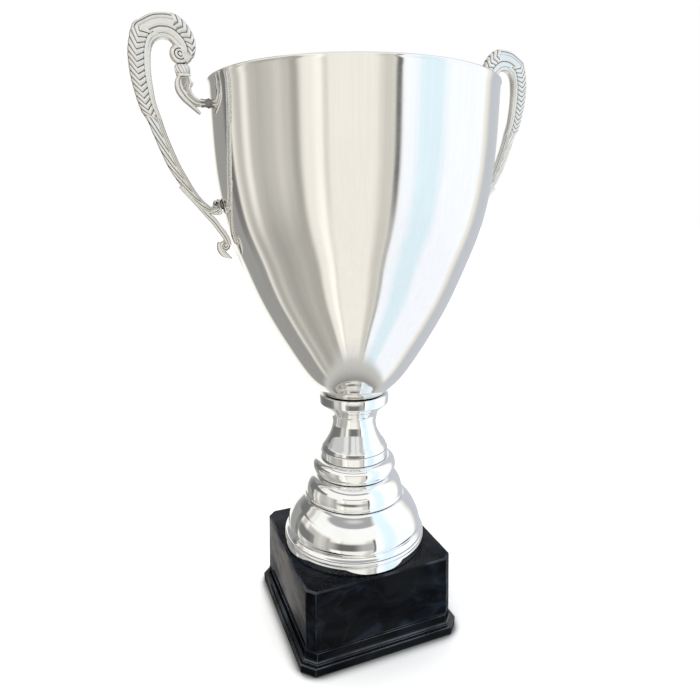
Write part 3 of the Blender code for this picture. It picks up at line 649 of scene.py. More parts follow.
def square_stack(name, node_name, levels, material, fillet=0.5 * MM):
    """One skin through cut-cornered squares (half width, corner, height), up the outside, down the inside.

    The section is rounded first, so that the edges between levels are soft. The attribute "edge" marks the
    turns of the section, and the outline's turns where the wall stands up."""
    section = np.asarray(levels, float)
    section = softened(np.vstack([section[-1:], section, section[:1]]), fillet, brace=0.5 * MM)[1:-1]
    bottom = low(node_name).z
    outlines = [cornered_outline(half, corner) for half, corner, _ in section]
    grid = np.stack([np.column_stack([outline, np.full(len(outline), bottom + height)])
                     for outline, height in zip(outlines, section[:, 2])])
    run = np.abs(np.diff(np.vstack([section, section[:1]])[:, [0, 2]], axis=0))
    steep = run[:, 1] > run[:, 0]
    wall = (steep & np.roll(steep, 1)).astype(float)
    edge = np.maximum(0.75 * bend_marks(section[:, [0, 2]])[:, None],
                      0.40 * wall[:, None] * bend_marks(outlines[0])[None, :])
    piece = surface(name, grid, material, round_rows=True, round_columns=True, values={"edge": edge})
    placed(piece, "plinth_black", node_name)


OCTAGON = 2 - math.sqrt(2)           # the corner, as a share of the half width, that makes a regular octagon


def make_plinth():
    """A hollow casing that leans in towards its top, on a moulded base with a cove above a square plate."""
    height = height_of("plinth_casing")
    foot = high("plinth_casing").x
    half = foot - 1.3 * MM
    corner = 6.0 * MM
    wall = 3.5 * MM
    hole = (BORE, BORE * OCTAGON)
    square_stack("casing", "plinth_casing",
                 [(foot, corner, 0), (half, corner, height), (*hole, height), (*hole, height - wall),
                  (half - wall, corner, height - wall), (foot - wall, corner, 0)], PLINTH_BLACK, 0.9 * MM)

    half = high("plinth_base").x
    corner = 9.0 * MM
    plate = 6.3 * MM
    top = height_of("plinth_base")
    step = half - 3.2 * MM
    lip = foot + 0.5 * MM
    a = np.radians(np.linspace(90, 0, 14))
    cove = [(lip + (step - lip) * (1 - math.cos(t)), corner - 1.6 * MM,
             plate + 1.2 * MM + (top - plate - 2.2 * MM) * (1 - math.sin(t))) for t in a]
    tray = half - 9.0 * MM
    tray_top = 9.6 * MM
    skirt = 0.3 * MM - low("plinth_base").z      # the outer edge comes down round the felt, near the floor
    inside = half - 2.4 * MM
    square_stack("moulded_base", "plinth_base",
                 [(half, corner, skirt), (half, corner, plate), (step, corner - 1 * MM, plate), *cove,
                  (lip, corner - 1.6 * MM, top), (*hole, top), (*hole, tray_top), (tray, 4 * MM, tray_top),
                  (tray, 4 * MM, 0), (inside, corner, 0), (inside, corner, skirt)], BASE_BLACK, 0.55 * MM)


# ---------------------------------------------------------------------------------------------------
# Rod, nuts, washers and screws
# ---------------------------------------------------------------------------------------------------

LOWER_FIXING = 142.1 * MM            # height of the lower handle screws above the bowl's seat
FIXING_PITCH = 62.0 * MM
FIXINGS = (("lower", LOWER_FIXING), ("upper", LOWER_FIXING + FIXING_PITCH))
SIDES = ((-1, "left"), (1, "right"))
THREAD_PITCH = 1.25 * MM


def fixing_frame(side, height):
    """A placement with its origin on the bowl's outer wall and +Z square to it, outwards. side is -1 or 1."""
    normal = Vector((side, 0, -float(bowl_slope(height)))).normalized()
    place = Matrix.Translation((side * float(bowl_radius(height)), 0, BOWL_FOOT + height))
    return place @ normal.to_track_quat("Z", "Y").to_matrix().to_4x4()


def make_tie_rod():
    """A rod threaded at both ends, where r = R - d (1 + cos(2 pi z / pitch - a)) / 2."""
    bottom, top = low("tie_rod"), high("tie_rod")
    radius = top.x
    threaded = 17 * MM
    ends = np.linspace(0, threaded, 150)
    heights = np.concatenate([bottom.z + ends, np.linspace(bottom.z + threaded, top.z - threaded, 24)[1:-1],
                              top.z - threaded + ends])
    angle = np.linspace(0, 2 * np.pi, 56, endpoint=False)
    z, a = np.meshgrid(heights, angle, indexing="ij")
    near_end = np.minimum(z - bottom.z, top.z - z)
    threads = np.clip((threaded - near_end) / THREAD_PITCH, 0, 1)
    wave = 0.5 + 0.5 * np.cos(2 * np.pi * z / THREAD_PITCH - a)
    r = radius - 0.5 * MM * threads * wave ** 0.8
    chamfer = radius - np.clip(0.9 * MM - near_end, 0, None)
    r = np.minimum(r, chamfer)
    grid = np.stack([r * np.cos(a), r * np.sin(a), z], axis=-1)
    ends_closed = np.concatenate([grid[:1] * (0, 0, 1), grid, grid[-1:] * (0, 0, 1)])
    placed(surface("threaded_rod", ends_closed, ZINC, round_columns=True, sharp=50), "hardware", "tie_rod")


def make_nut(name, node_name):
    """Hexagon r = flat / cos(a - nearest flat), cut back at both ends by a cone, with a chamfered bore."""
    bottom, top = low(node_name), high(node_name)
    flat = 6.5 * MM
    height = top.z - bottom.z
    angle = np.linspace(0, 2 * np.pi, 180, endpoint=False)
    hexagon = flat / np.cos((angle + np.pi / 6) % (np.pi / 3) - np.pi / 6)
    levels = np.concatenate([np.linspace(0, 0.22, 9), np.linspace(0.78, 1, 9)]) * height
    to_end = np.minimum(levels, height - levels)[:, None]
    outside = np.minimum(hexagon[None, :], flat + 0.35 * MM + to_end * 1.5)
    outside[[0, -1]] = np.minimum(outside[[0, -1]], flat * 0.97)
    bore = np.array([(4.9, 0), (4.3, 0.6), (4.3, height / MM - 0.6), (4.9, height / MM)])[::-1] * MM
    radii = np.vstack([outside, np.repeat(bore[:, :1], len(angle), axis=1)])
    z = np.concatenate([levels, bore[:, 1]])[:, None] + bottom.z
    grid = np.stack([radii * np.cos(angle), radii * np.sin(angle), np.broadcast_to(z, radii.shape)], axis=-1)
    placed(surface(name, grid, ZINC, round_rows=True, round_columns=True, sharp=25), "hardware", node_name)


def washer_profile(outer, inner, thickness):
    ring = [(inner, 0), (outer, 0), (outer, thickness), (inner, thickness)]
    return softened([ring[-1], *ring, ring[0]], 0.25 * MM)[1:-1]


def make_washers():
    for node_name in ("base_washer", "bowl_washer"):
        bottom, top = low(node_name), high(node_name)
        profile = washer_profile(top.x, 4.3 * MM, top.z - bottom.z) + (0, bottom.z)
        placed(turned("plain_" + node_name, profile, ZINC, 96), "hardware", node_name)
    bottom, top = low("bowl_gasket"), high("bowl_gasket")
    profile = washer_profile(top.x - 1.2 * MM, BORE, top.z - bottom.z) + (0, bottom.z)
    placed(turned("seat_gasket", profile, RUBBER, 128), "rubber", "bowl_gasket")


def pan_head_screw(name, node_name, head_top, tip, place):
    """A pan head z = -c (1 - (r / R)^2.6), less the depth of the two crossed slots."""
    head, tall, shank = 2.9 * MM, 1.9 * MM, 1.4 * MM
    angle = np.linspace(0, 2 * np.pi, 96, endpoint=False)
    crown = np.linspace(0, 1, 26)[:, None] * head
    z = head_top - tall * (0.45 + 0.55 * (1 - (crown / head) ** 2.6)) + 0 * angle
    x, y = crown * np.cos(angle), crown * np.sin(angle)
    slot = 0.33 * MM
    cross = np.maximum(1 - (np.abs(x) / slot) ** 4, 1 - (np.abs(y) / slot) ** 4)
    z = z + 1.1 * MM * np.clip(cross, 0, 1) * np.clip(2.4 - 2.4 * crown / (0.62 * head), 0, 1)
    rest = np.array([(head, head_top), (shank, head_top), (shank, tip - 0.5 * shank), (0.5 * shank, tip),
                     (0, tip)])
    lower = np.stack([rest[:, :1] * np.cos(angle), rest[:, :1] * np.sin(angle),
                      np.repeat(rest[:, 1:], len(angle), axis=1)], axis=-1)
    grid = np.concatenate([np.stack([x, y, z], axis=-1), lower])
    place = np.array(place)
    grid = grid @ place[:3, :3].T + place[:3, 3]
    placed(surface(name, grid, ZINC, round_columns=True, sharp=35), "hardware", node_name)


def make_handle_fixings():
    """Inside the bowl each handle is held by two screws, each through a small washer."""
    thickness = 0.8 * MM
    washer_foot = -(BOWL_WALL + 0.6 * MM) - thickness
    profile = washer_profile(3.9 * MM, 1.7 * MM, thickness) + (0, washer_foot)
    for side, side_name in SIDES:
        for spot, height in FIXINGS:
            place = fixing_frame(side, height)
            where = f"{side_name}_{spot}"
            washer = turned("small_washer_" + where, profile, ZINC, 64, place)
            placed(washer, "hardware", "handle_washer_" + where)
            pan_head_screw("cross_screw_" + where, "handle_screw_" + where, washer_foot - 0.3 * MM, 3.6 * MM,
                           place)


def dress_hidden_nodes():
    """CAD pieces that keep their own shape get the finish of what they are made of."""
    finishes = {"base_felt": FELT, "ballast_disc": CEMENT, "base_nut": ZINC}
    finishes.update({f"base_screw_{number}": ZINC for number in (1, 2, 3, 4)})
    for name, material in finishes.items():
        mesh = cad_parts[name].data
        mesh.materials.clear()
        mesh.materials.append(material)


# ---------------------------------------------------------------------------------------------------
# Handles. Lines are (distance from the cup's axis, height) in mm, in the plane of the handles
# ---------------------------------------------------------------------------------------------------

HANDLE_LIFT = high("handle_left").z - 449.5 * MM
FIXING_SPOTS = ((99.5, 399.3), (96.5, 337.5))
HANDLE_REACH = high("handle_right").x - 0.02 * MM

# Outer edge, then inner edge: from the bowl out along the lower branch, up the arm and over the crown
ARM = ((94.8, 332.6, 95.9, 339.3), (98.0, 331.5, 98.3, 336.4), (102.0, 331.7, 101.2, 336.1),
       (106.5, 334.0, 104.7, 338.8), (111.0, 338.3, 107.7, 342.0), (115.6, 343.6, 110.7, 346.4),
       (119.8, 349.8, 113.6, 351.7), (125.9, 360.0, 118.6, 361.5), (130.0, 370.0, 122.6, 371.8),
       (133.6, 380.0, 125.9, 381.5), (136.4, 388.0, 128.2, 390.4), (139.0, 392.8, 129.7, 395.6),
       (140.8, 398.5, 130.6, 400.0), (142.3, 405.5, 131.2, 406.0), (143.5, 412.5, 131.6, 412.0),
       (143.9, 420.0, 131.6, 418.0), (143.7, 426.5, 131.0, 424.5), (142.2, 433.8, 130.0, 428.6),
       (140.0, 440.9, 128.2, 431.6), (135.4, 444.1, 125.8, 433.3), (129.7, 447.2, 123.2, 434.0),
       (124.3, 448.4, 121.3, 433.8), (119.6, 448.7, 119.6, 433.2), (115.3, 447.9, 118.2, 431.9),
       (111.0, 445.2, 117.1, 430.8), (107.4, 440.9, 115.8, 429.8), (105.2, 436.2, 114.8, 428.9),
       (104.6, 431.5, 113.9, 428.1), (105.4, 427.2, 113.3, 427.2), (107.6, 423.3, 113.1, 426.4),
       (110.0, 420.9, 113.4, 425.6))
TAIL = ((121.0, 348.4, 119.8, 349.4), (118.4, 345.2, 116.4, 347.0), (115.0, 341.4, 112.4, 343.2),
        (110.4, 335.9, 108.1, 338.3), (105.6, 329.9, 103.4, 332.9), (101.6, 325.2, 99.2, 329.2),
        (98.2, 320.4, 95.5, 323.8), (95.6, 316.2, 92.4, 319.6), (94.0, 313.4, 90.2, 315.2),
        (93.4, 310.5, 89.4, 311.3))
LEAF = ((116.3, 414.3, 109.4, 414.3), (118.0, 411.3, 109.1, 411.0), (118.2, 408.7, 109.2, 408.3),
        (117.4, 405.3, 109.1, 405.5), (115.5, 402.0, 107.9, 403.1), (112.3, 399.0, 106.0, 401.5),
        (109.0, 396.9, 104.3, 400.9), (105.5, 396.9, 102.6, 400.8), (102.7, 397.2, 101.2, 400.9),
        (99.9, 397.6, 99.9, 401.0))


def eased(value, start, end):
    t = np.clip((value - start) / (end - start), 0, 1)
    return t * t * (3 - 2 * t)


def line_at(across, at, width):
    """1 along an incised line, falling to 0 on both sides."""
    return np.exp(-((across - at) / width) ** 2)


def both_handles(name, grid, shade_and_patina):
    """A grid in (distance, depth, height) as a piece of the right handle, and half a turn round the cup for
    the left. Close to the fixings it gets painted shade, and its plating is duller there."""
    for spot in FIXING_SPOTS:
        away = np.hypot(grid[..., 0] - spot[0] * MM, grid[..., 2] - spot[1] * MM) / MM
        shade_and_patina = np.maximum(shade_and_patina, 0.62 * eased(away, 4.6, 1.2))
    grid = grid + (0, 0, HANDLE_LIFT)
    grid[..., 0] = np.minimum(grid[..., 0], HANDLE_REACH)
    for side, side_name in SIDES:
        piece = surface(f"{name}_{side_name}", grid * (side, side, 1), CAST, False, True, {"shade_and_patina": shade_and_patina})
        placed(piece, "handle_metal", f"handle_{side_name}")


def ribbon(name, edges, steps, count, depth, relief, blunt=6):
    """A bar between an outer and an inner edge line: across it, v runs from 0 to 1 and the half depth is
    depth (1 - |2v - 1|^blunt)^0.4 plus the relief, on both faces. Its ends are flat."""
    lines = curve_through(edges, steps)
    outer, inner = lines[:, None, :2], lines[:, None, 2:]
    even = np.linspace(0, 1, count)
    v = (0.6 * even + 0.4 * (0.5 - 0.5 * np.cos(np.pi * even)))[None, :]
    middle = lines[:, :2] * 0.6 + lines[:, 2:] * 0.4
    run = np.concatenate([[0], np.cumsum(np.linalg.norm(np.diff(middle, axis=0), axis=1))])[:, None]
    station = (np.arange(len(lines)) / steps)[:, None]
    height, shade_and_patina, spread = relief(station, run, v)
    flat = outer + (inner - outer) * v[..., None]
    away = (outer - inner) / np.linalg.norm(outer - inner, axis=-1, keepdims=True)
    flat = flat + away * (spread * (1 - v) ** 5)[..., None]
    inside = 1 - np.abs(2 * v - 1) ** 14
    face = depth * (1 - np.abs(2 * v - 1) ** blunt) ** 0.4 + height * inside
    front = np.stack([flat[..., 0], -face, flat[..., 1]], axis=-1)
    back = np.stack([flat[..., 0], face, flat[..., 1]], axis=-1)[:, -2:0:-1]
    grid = np.concatenate([front, back], axis=1)
    shade_and_patina = np.concatenate([shade_and_patina, shade_and_patina[:, -2:0:-1]], axis=1)
    first, last = (np.repeat(grid[end].mean(axis=0)[None, None], grid.shape[1], axis=1) for end in (0, -1))
    shade_and_patina = np.concatenate([shade_and_patina[:1], shade_and_patina, shade_and_patina[-1:]])
    both_handles(name, np.concatenate([first, grid, last]) * MM, shade_and_patina)


def strokes(run, across, apex, inner, pitch, inner_rise, outer_rise):
    """Rounded strokes that meet in a V at the apex: 1 on top of a stroke, 0 in the groove between two."""
    rise = np.where(across > apex, inner_rise * (across - apex) / (inner - apex),
                    outer_rise * (apex - across) / apex)
    phase = (run - rise) / pitch
    off = 2 * np.abs(phase - np.round(phase))
    return np.sqrt(np.clip(1 - (1 - off) ** 2, 0, 1))


def arm_relief(station, run, across):
    """Long lapped leaves and three ribs, then V strokes beside a plain band, a smooth crown, and V strokes."""
    lapped = ((run + 34 * across) / 9.0) % 1
    lapped = (1 - lapped) ** 0.8 * eased(lapped, 0, 0.12)
    ribs = np.abs(np.cos(3 * np.pi * (across - 0.60) / 0.40)) ** 0.6
    on_ribs = eased(across, 0.585, 0.615)
    low_part = 0.95 * lapped * (1 - on_ribs) + 0.55 * ribs * on_ribs
    low_groove = (1 - on_ribs) * eased(lapped, 0.42, 0.08) + on_ribs * eased(ribs, 0.80, 0.35)

    band = eased(across, 0.66, 0.70)
    rising = strokes(run, across, 0.36, 0.68, 3.35, 2.7, 5.2)
    cut = 0.8 * line_at(across, 0.68, 0.024) + 0.6 * line_at(across, 0.86, 0.022)
    row_a = 1.05 * rising * (1 - band) + 0.75 * band - 0.8 * cut
    groove_a = (1 - band) * eased(rising, 0.82, 0.35) + 0.9 * cut

    crown_cut = (line_at(across, 0.12, 0.024) + 0.8 * line_at(across, 0.25, 0.018)
                 + line_at(across, 0.55, 0.028) + 0.8 * line_at(across, 0.80, 0.024))
    crown = 0.80 - 0.85 * crown_cut
    groove_crown = 0.95 * crown_cut

    band_b = eased(across, 0.52, 0.56)
    falling = strokes(run, across, 0.24, 0.54, 3.0, -3.4, -2.2)
    cut_b = line_at(across, 0.55, 0.026) + 0.8 * line_at(across, 0.80, 0.022)
    row_b = 1.05 * falling * (1 - band_b) + 0.75 * band_b - 0.8 * cut_b
    groove_b = (1 - band_b) * eased(falling, 0.82, 0.35) + 0.9 * cut_b

    start_a = eased(station, 10.1 - 0.5 * across, 10.5 - 0.5 * across)
    start_crown = eased(station, 17.3 + 2.4 * across, 17.6 + 2.4 * across)
    start_b = eased(station, 22.3 + 1.0 * across, 22.45 + 1.0 * across)
    end_b = eased(station, 28.3, 28.8)
    height, groove, edge = low_part, low_groove, 0.30 * lapped
    stretches = ((start_a, row_a, groove_a, 0.42 * rising), (start_crown, crown, groove_crown, 0.0),
                 (start_b, row_b, groove_b, 0.42 * falling), (end_b, 0.7, 0.0, 0.0))
    for share, part, part_groove, part_edge in stretches:
        height = height + (part - height) * share
        groove = groove + (part_groove - groove) * share
        edge = edge + (part_edge - edge) * share
    rim = np.clip(np.abs(2 * across - 1) - 0.91, 0, 1) / 0.09
    # The second value is painted shade with some patina: dark in the grooves and along both edges.
    return height, np.clip(groove + 0.45 * rim, 0, 1), edge


def tail_relief(station, run, across):
    """Two strands side by side, the inner one with slanting rope lines."""
    parted = line_at(across, 0.42, 0.05) * eased(station, 2.5, 4.0)
    phase = (run + 2.2 * across) / 1.35
    rope = np.abs(np.sin(np.pi * phase)) ** 0.5
    on_rope = eased(across, 0.60, 0.66) * eased(station, 4.2, 4.8)
    height = 0.35 - 0.9 * parted - 0.35 * (1 - rope) * on_rope
    # The second value is painted shade with some patina: dark in the parting line and the rope grooves.
    return height, np.clip(0.9 * parted + 0.75 * eased(rope, 0.75, 0.30) * on_rope, 0, 1), 0 * height


def leaf_relief(station, run, across):
    """The ground between the veins of the leaf under the rope ring: sunk, and darkened by painted shade."""
    sunk = np.sin(np.pi * across) + 0 * run
    return -0.3 * sunk, np.clip(0.30 + 0.35 * sunk, 0, 1), 0 * sunk


def strand(name, points, depth, steps=9, around=28, end_steps=7):
    """A bar along a line of (distance, height, half width), rounded at both ends. Its section is a
    superellipse: sideways w |cos a|^0.8, in depth d |sin a|^0.8."""
    line = curve_through(points, steps)
    run = np.gradient(line[:, :2], axis=0)
    run = run / np.linalg.norm(run, axis=1, keepdims=True)
    t = np.linspace(0, 1, end_steps, endpoint=False)
    rounding = np.sqrt(1 - (1 - t) ** 2)
    start = line[0, :2] - run[0] * ((1 - t) * line[0, 2])[:, None]
    end = (line[-1, :2] + run[-1] * ((1 - t) * line[-1, 2])[:, None])[::-1]
    centre = np.vstack([start, line[:, :2], end])
    run = np.vstack([np.repeat(run[:1], end_steps, axis=0), run, np.repeat(run[-1:], end_steps, axis=0)])
    scale = np.concatenate([rounding, np.ones(len(line)), rounding[::-1]])
    half = scale * np.concatenate([np.full(end_steps, line[0, 2]), line[:, 2],
                                   np.full(end_steps, line[-1, 2])])
    a = np.linspace(0, 2 * np.pi, around, endpoint=False)
    sideways = np.sign(np.cos(a)) * np.abs(np.cos(a)) ** 0.8
    deep = np.sign(np.sin(a)) * np.abs(np.sin(a)) ** 0.8
    across = half[:, None] * sideways
    grid = np.stack([centre[:, :1] - run[:, 1:] * across, depth * scale[:, None] * deep,
                     centre[:, 1:] + run[:, :1] * across], axis=-1)
    # Painted shade: the strand is darker along its sides, where it meets the ground.
    shade_and_patina = 0.85 * np.abs(sideways) ** 7 + 0 * across
    both_handles(name, grid * MM, shade_and_patina)


def scroll(name, centre, radius, depth, groove, shrink, start):
    """A disc with a spiral cut in both faces: t turns from the start, the cut is at
    r = groove shrink^max(t - 1/2, 0)."""
    t = np.linspace(0, 1, 66)
    r = radius * (1 - (1 - t) ** 1.7)[:, None]
    a = np.linspace(0, 2 * np.pi, 160, endpoint=False)
    turns = ((a - math.radians(start)) / (2 * np.pi)) % 1
    paths = (groove * shrink ** np.clip(turns + k - 0.5, 0, None) for k in range(2))
    cut = np.clip(sum(np.exp(-((r - path) / (0.085 * groove)) ** 2) for path in paths), 0, 1)
    face = depth * (1 - 0.16 * eased(r, 0.5 * radius, radius)) * (1 - (r / radius) ** 9) ** 0.45
    face = np.clip(face - 0.22 * groove * cut * (r < 0.97 * radius), 0, None)
    x, z = centre[0] + r * np.cos(a), centre[1] + r * np.sin(a)
    grid = np.concatenate([np.stack([x, -face, z], axis=-1), np.stack([x, face, z], axis=-1)[-2::-1]])
    # Painted shade with some patina: dark in the spiral cut and round the disc's rim.
    rim = eased(r / radius, 0.93, 1.0) + 0 * cut
    shade_and_patina = np.clip(0.95 * cut + 0.35 * rim, 0, 1)
    both_handles(name, grid * MM, np.concatenate([shade_and_patina, shade_and_patina[-2::-1]]))


def upright_ring(name, distance, bottom, top, half_width, half_depth, lobes, twist, ridge):
    """A ring round an upright line, (w cos a, d sin a) swollen by sin t from its bottom to its top, with
    ridges that twist round it."""
    t = np.linspace(0, np.pi, 30)[:, None]
    a = np.linspace(0, 2 * np.pi, 144, endpoint=False)
    swell = 0.80 + 0.20 * np.sin(t) ** 0.8
    phase = lobes * a / 2 + twist * t
    lobe = np.abs(np.cos(phase)) ** 0.7 if lobes else np.ones((1, len(a)))
    size = swell * (1 - ridge * (1 - lobe) * np.sin(t) ** 0.5)
    z = (bottom + top) / 2 - (top - bottom) / 2 * np.cos(t) + 0 * a
    grid = np.stack([distance + half_width * size * np.cos(a), half_depth * size * np.sin(a), z], axis=-1)
    bottom_middle, top_middle = (end * (0, 0, 1) + (distance, 0, 0) for end in (grid[:1], grid[-1:]))
    grid = np.concatenate([bottom_middle, grid, top_middle])
    # Painted shade: dark between the twisted ridges and towards both ends of the ring.
    shade_and_patina = np.clip(eased(lobe, 0.55, 0.15) + 0.5 * eased(np.sin(t), 0.35, 0.0), 0, 1) + 0 * z
    both_handles(name, grid * MM, np.concatenate([shade_and_patina[:1], shade_and_patina, shade_and_patina[-1:]]))


def make_handle_bosses():
    """A short flared stud at each fixing, from the wall of the bowl into the handle."""
    outline = np.array([(0, -0.15), (3.1, -0.15), (3.0, 0.4), (2.5, 1.2), (2.3, 2.6), (2.6, 4.0), (2.6, 5.0),
                        (0, 5.0)]) * MM
    profile = softened(outline, 0.4 * MM)
    for side, side_name in SIDES:
        for spot, height in FIXINGS:
            # Each stud is darkened all over with 0.75: painted shade at its joint with the bowl.
            stud = turned(f"boss_{side_name}_{spot}", profile, CAST, 48, fixing_frame(side, height), 0.75)
            placed(stud, "handle_metal", f"handle_{side_name}")


def make_handles():
    ribbon("arm", ARM, 26, 44, 2.7, arm_relief)
    ribbon("tail", TAIL, 18, 30, 2.4, tail_relief)
    ribbon("leaf_ground", LEAF, 14, 24, 2.0, leaf_relief, 4)
    scroll("volute", (114.2, 426.5), 6.0, 3.45, 3.35, 0.40, 180)
    scroll("tail_scroll", (93.8, 310.7), 3.7, 3.0, 2.6, 0.40, 60)
    upright_ring("rope_ring", 113.2, 415.6, 420.5, 4.8, 3.9, 12, 1.5, 0.17)
    upright_ring("thin_ring", 113.0, 413.9, 415.7, 4.4, 3.4, 0, 0, 0.0)
    strand("leaf_back", [(115.6, 414.0, 1.0), (117.0, 410.6, 1.35), (116.6, 406.0, 1.5),
                         (113.6, 401.5, 1.45), (109.2, 397.5, 1.2), (105.9, 394.6, 0.95),
                         (104.6, 393.4, 0.7)], 2.7)
    strand("leaf_middle", [(115.1, 411.4, 0.7), (114.7, 407.5, 0.95), (112.3, 403.6, 0.95),
                           (109.2, 400.4, 0.9), (105.5, 398.7, 0.8), (100.9, 398.6, 0.75)], 2.75)
    strand("leaf_front", [(110.0, 413.9, 0.8), (109.3, 410.6, 0.95), (109.9, 406.8, 0.95),
                          (108.2, 403.1, 0.9), (105.0, 401.0, 0.8), (100.9, 400.4, 0.75)], 2.75)
    strand("leaf_eye", [(112.3, 413.5, 0.42), (114.3, 412.6, 0.42), (114.8, 410.7, 0.42),
                        (113.9, 407.6, 0.42), (112.0, 409.4, 0.42), (110.9, 411.6, 0.42),
                        (111.3, 413.0, 0.42), (112.3, 413.5, 0.42)], 2.6)
    strand("leaf_rib", [(113.4, 406.2, 0.5), (111.5, 404.4, 0.6), (110.9, 407.5, 0.55),
                        (111.2, 409.4, 0.35)], 2.45)
    strand("leaf_lobe", [(109.9, 408.2, 0.8), (108.6, 409.2, 0.7), (107.6, 410.8, 0.35)], 2.0)
    strand("branch_curl", [(99.9, 336.7, 0.6), (98.4, 336.2, 0.75), (96.9, 337.2, 0.8), (96.7, 339.0, 0.8),
                           (98.0, 339.9, 0.7), (99.0, 339.0, 0.55), (98.5, 338.2, 0.4)], 2.9)
    strand("branch_stub", [(102.0, 333.3, 0.9), (99.0, 332.0, 1.0), (96.0, 332.0, 1.1),
                           (95.2, 332.9, 1.0)], 3.0)
    strand("branch_collar", [(95.6, 334.0, 1.0), (96.1, 337.0, 1.0), (96.4, 340.3, 0.9)], 3.3)
    strand("tail_hook", [(97.7, 312.9, 0.8), (97.7, 310.6, 1.7), (96.6, 307.6, 2.3), (94.7, 305.2, 2.2),
                         (92.3, 303.5, 1.6), (90.1, 302.2, 0.8)], 2.7)
    make_handle_bosses()


make_bowl()
make_stem()
make_foot()
make_plinth()
make_tie_rod()
make_nut("bowl_hex_nut", "bowl_nut")
make_washers()
make_handle_fixings()
dress_hidden_nodes()
make_handles()


# ---------------------------------------------------------------------------------------------------
# Studio, floor and camera
# ---------------------------------------------------------------------------------------------------

CAMERA_PLACE = (-0.1579, -0.3877, 0.3394)
CAMERA_TURN = 21.78          # degrees, from +Y towards +X
CAMERA_PITCH = 14.90         # degrees down
CAMERA_ROLL = -0.22
CAMERA_LENS = 28.75          # mm on a 36 mm sensor
CAMERA_SIDE = math.degrees(math.atan2(CAMERA_PLACE[1], CAMERA_PLACE[0]))

# What the polished metal sees, as upright cards round the cup. Each is (angle from the camera's side,
# positive to the camera's right, half width, softness, brightness at eye level, brightness below, tint),
# with angles in degrees.
WARM = (1.03, 1.0, 0.925)
PLAIN = (1.0, 1.0, 0.97)
CLEAR = (0.96, 1.0, 1.07)
COOL = (0.85, 1.02, 1.12)
STUDIO_BASE = (0.99, 0.99, WARM)
STUDIO_CARDS = (
    ("backdrop", 180, 36, 4, 1.12, 1.12, PLAIN),
    ("grey_card", -123, 17, 3, 0.36, 0.37, PLAIN),
    ("card_edge", -110, 4.5, 2.5, 0.20, 0.36, PLAIN),
    ("left_wall", -70, 31, 5, 0.60, 0.47, WARM),
    ("left_lamp", -88, 2.5, 4.5, 0.98, 0.60, WARM),
    ("wall_dim", -73, 4, 5, 0.54, 0.42, WARM),
    ("wall_pale", -56.5, 3.5, 4, 0.70, 0.52, WARM),
    ("door_dark", -43, 2.5, 3.5, 0.44, 0.46, WARM),
    ("soft_lamp", -25, 3, 4, 1.12, 1.20, WARM),
    ("soft_grey", -19.5, 1, 3, 0.80, 0.90, WARM),
    ("right_grey", 25.5, 6, 5, 0.72, 0.68, WARM),
    ("dark_strip", 33.2, 2.4, 1.4, 0.18, 0.55, PLAIN),
    ("window", 76.5, 40.5, 2, 1.18, 1.12, CLEAR),
    ("window_bar", 60, 12, 6, 1.06, 1.00, COOL),
    ("right_wall", 146, 22, 6, 0.64, 0.64, CLEAR),
)
CEILING = 1.08
LAMP_ROW = 0.42              # the darker row across the ceiling in front
HIGH_CEILING = 0.90
UNDER = 0.75
SKY_LIGHT = 2.1
CONTACT_SHADOW = 12 * MM     # how far the floor's dark line reaches out from the base

# Grey things close to the cup, on a circle round its axis: (bottom, top), (centre, half width) of the card and
# of its darkest part in degrees, darkest and palest tone, and how near and far the pieces are that show it
CARD_RADIUS = 0.25
NEAR_CARDS = {
    "foot_card": ((0.043, 0.136), (-4, 33), (-10, 8), (0.17, 0.48), (0.17, 0.218)),
    "foot_left_card": ((0.030, 0.125), (-88, 27), (-80, 8), (0.20, 0.34), (0.17, 0.218)),
    "stem_card": ((0.085, 0.225), (2, 27), (0, 10), (0.19, 0.46), (0.222, 0.264)),
    "stem_left_card": ((0.085, 0.225), (-93, 31), (-93, 18), (0.19, 0.32), (0.222, 0.264)),
}
STEM_CARDS_FROM = 0.2        # a card whose pieces are further off than this is hidden from steep rays
STEEPEST = 0.085             # how much a ray may slant to the card, as 1 less the cosine

# The streaks on the neck: (centre, half width, softness, tone) in degrees
NECK_TONE = 0.86
NECK_STREAKS = ((-72, 26, 8, 0.64), (-112, 9, 8, 0.30), (-98, 5, 5, 0.46), (-17, 3, 5, 0.48),
                (31, 5, 4, 0.60), (8, 1.5, 2.5, 0.70))
NECK_SLANT = 0.10            # the most a ray from the neck slants where it meets the card at NECK_HEIGHT
NECK_HEIGHT = 0.258
NECK_RISE = 1.64             # how much more it slants for each metre above that


def product(tree, *masks):
    """All the masks multiplied together."""
    whole = masks[0]
    for mask in masks[1:]:
        whole = maths(tree, "MULTIPLY", whole, mask)
    return whole


def degrees_from(tree, x, y, centre):
    """How far the direction of x and y lies from one given in degrees from the camera's side."""
    angle = maths(tree, "MULTIPLY", maths(tree, "ARCTAN2", y, x), 180 / math.pi)
    away = maths(tree, "SUBTRACT", angle, CAMERA_SIDE + centre)
    wrapped = node(tree, "Math", {0: away, 1: 180.0, 2: -180.0}, operation="WRAP").outputs[0]
    return maths(tree, "ABSOLUTE", wrapped)


def tinted(brightness, tint):
    return (*[brightness * part for part in tint], 1)


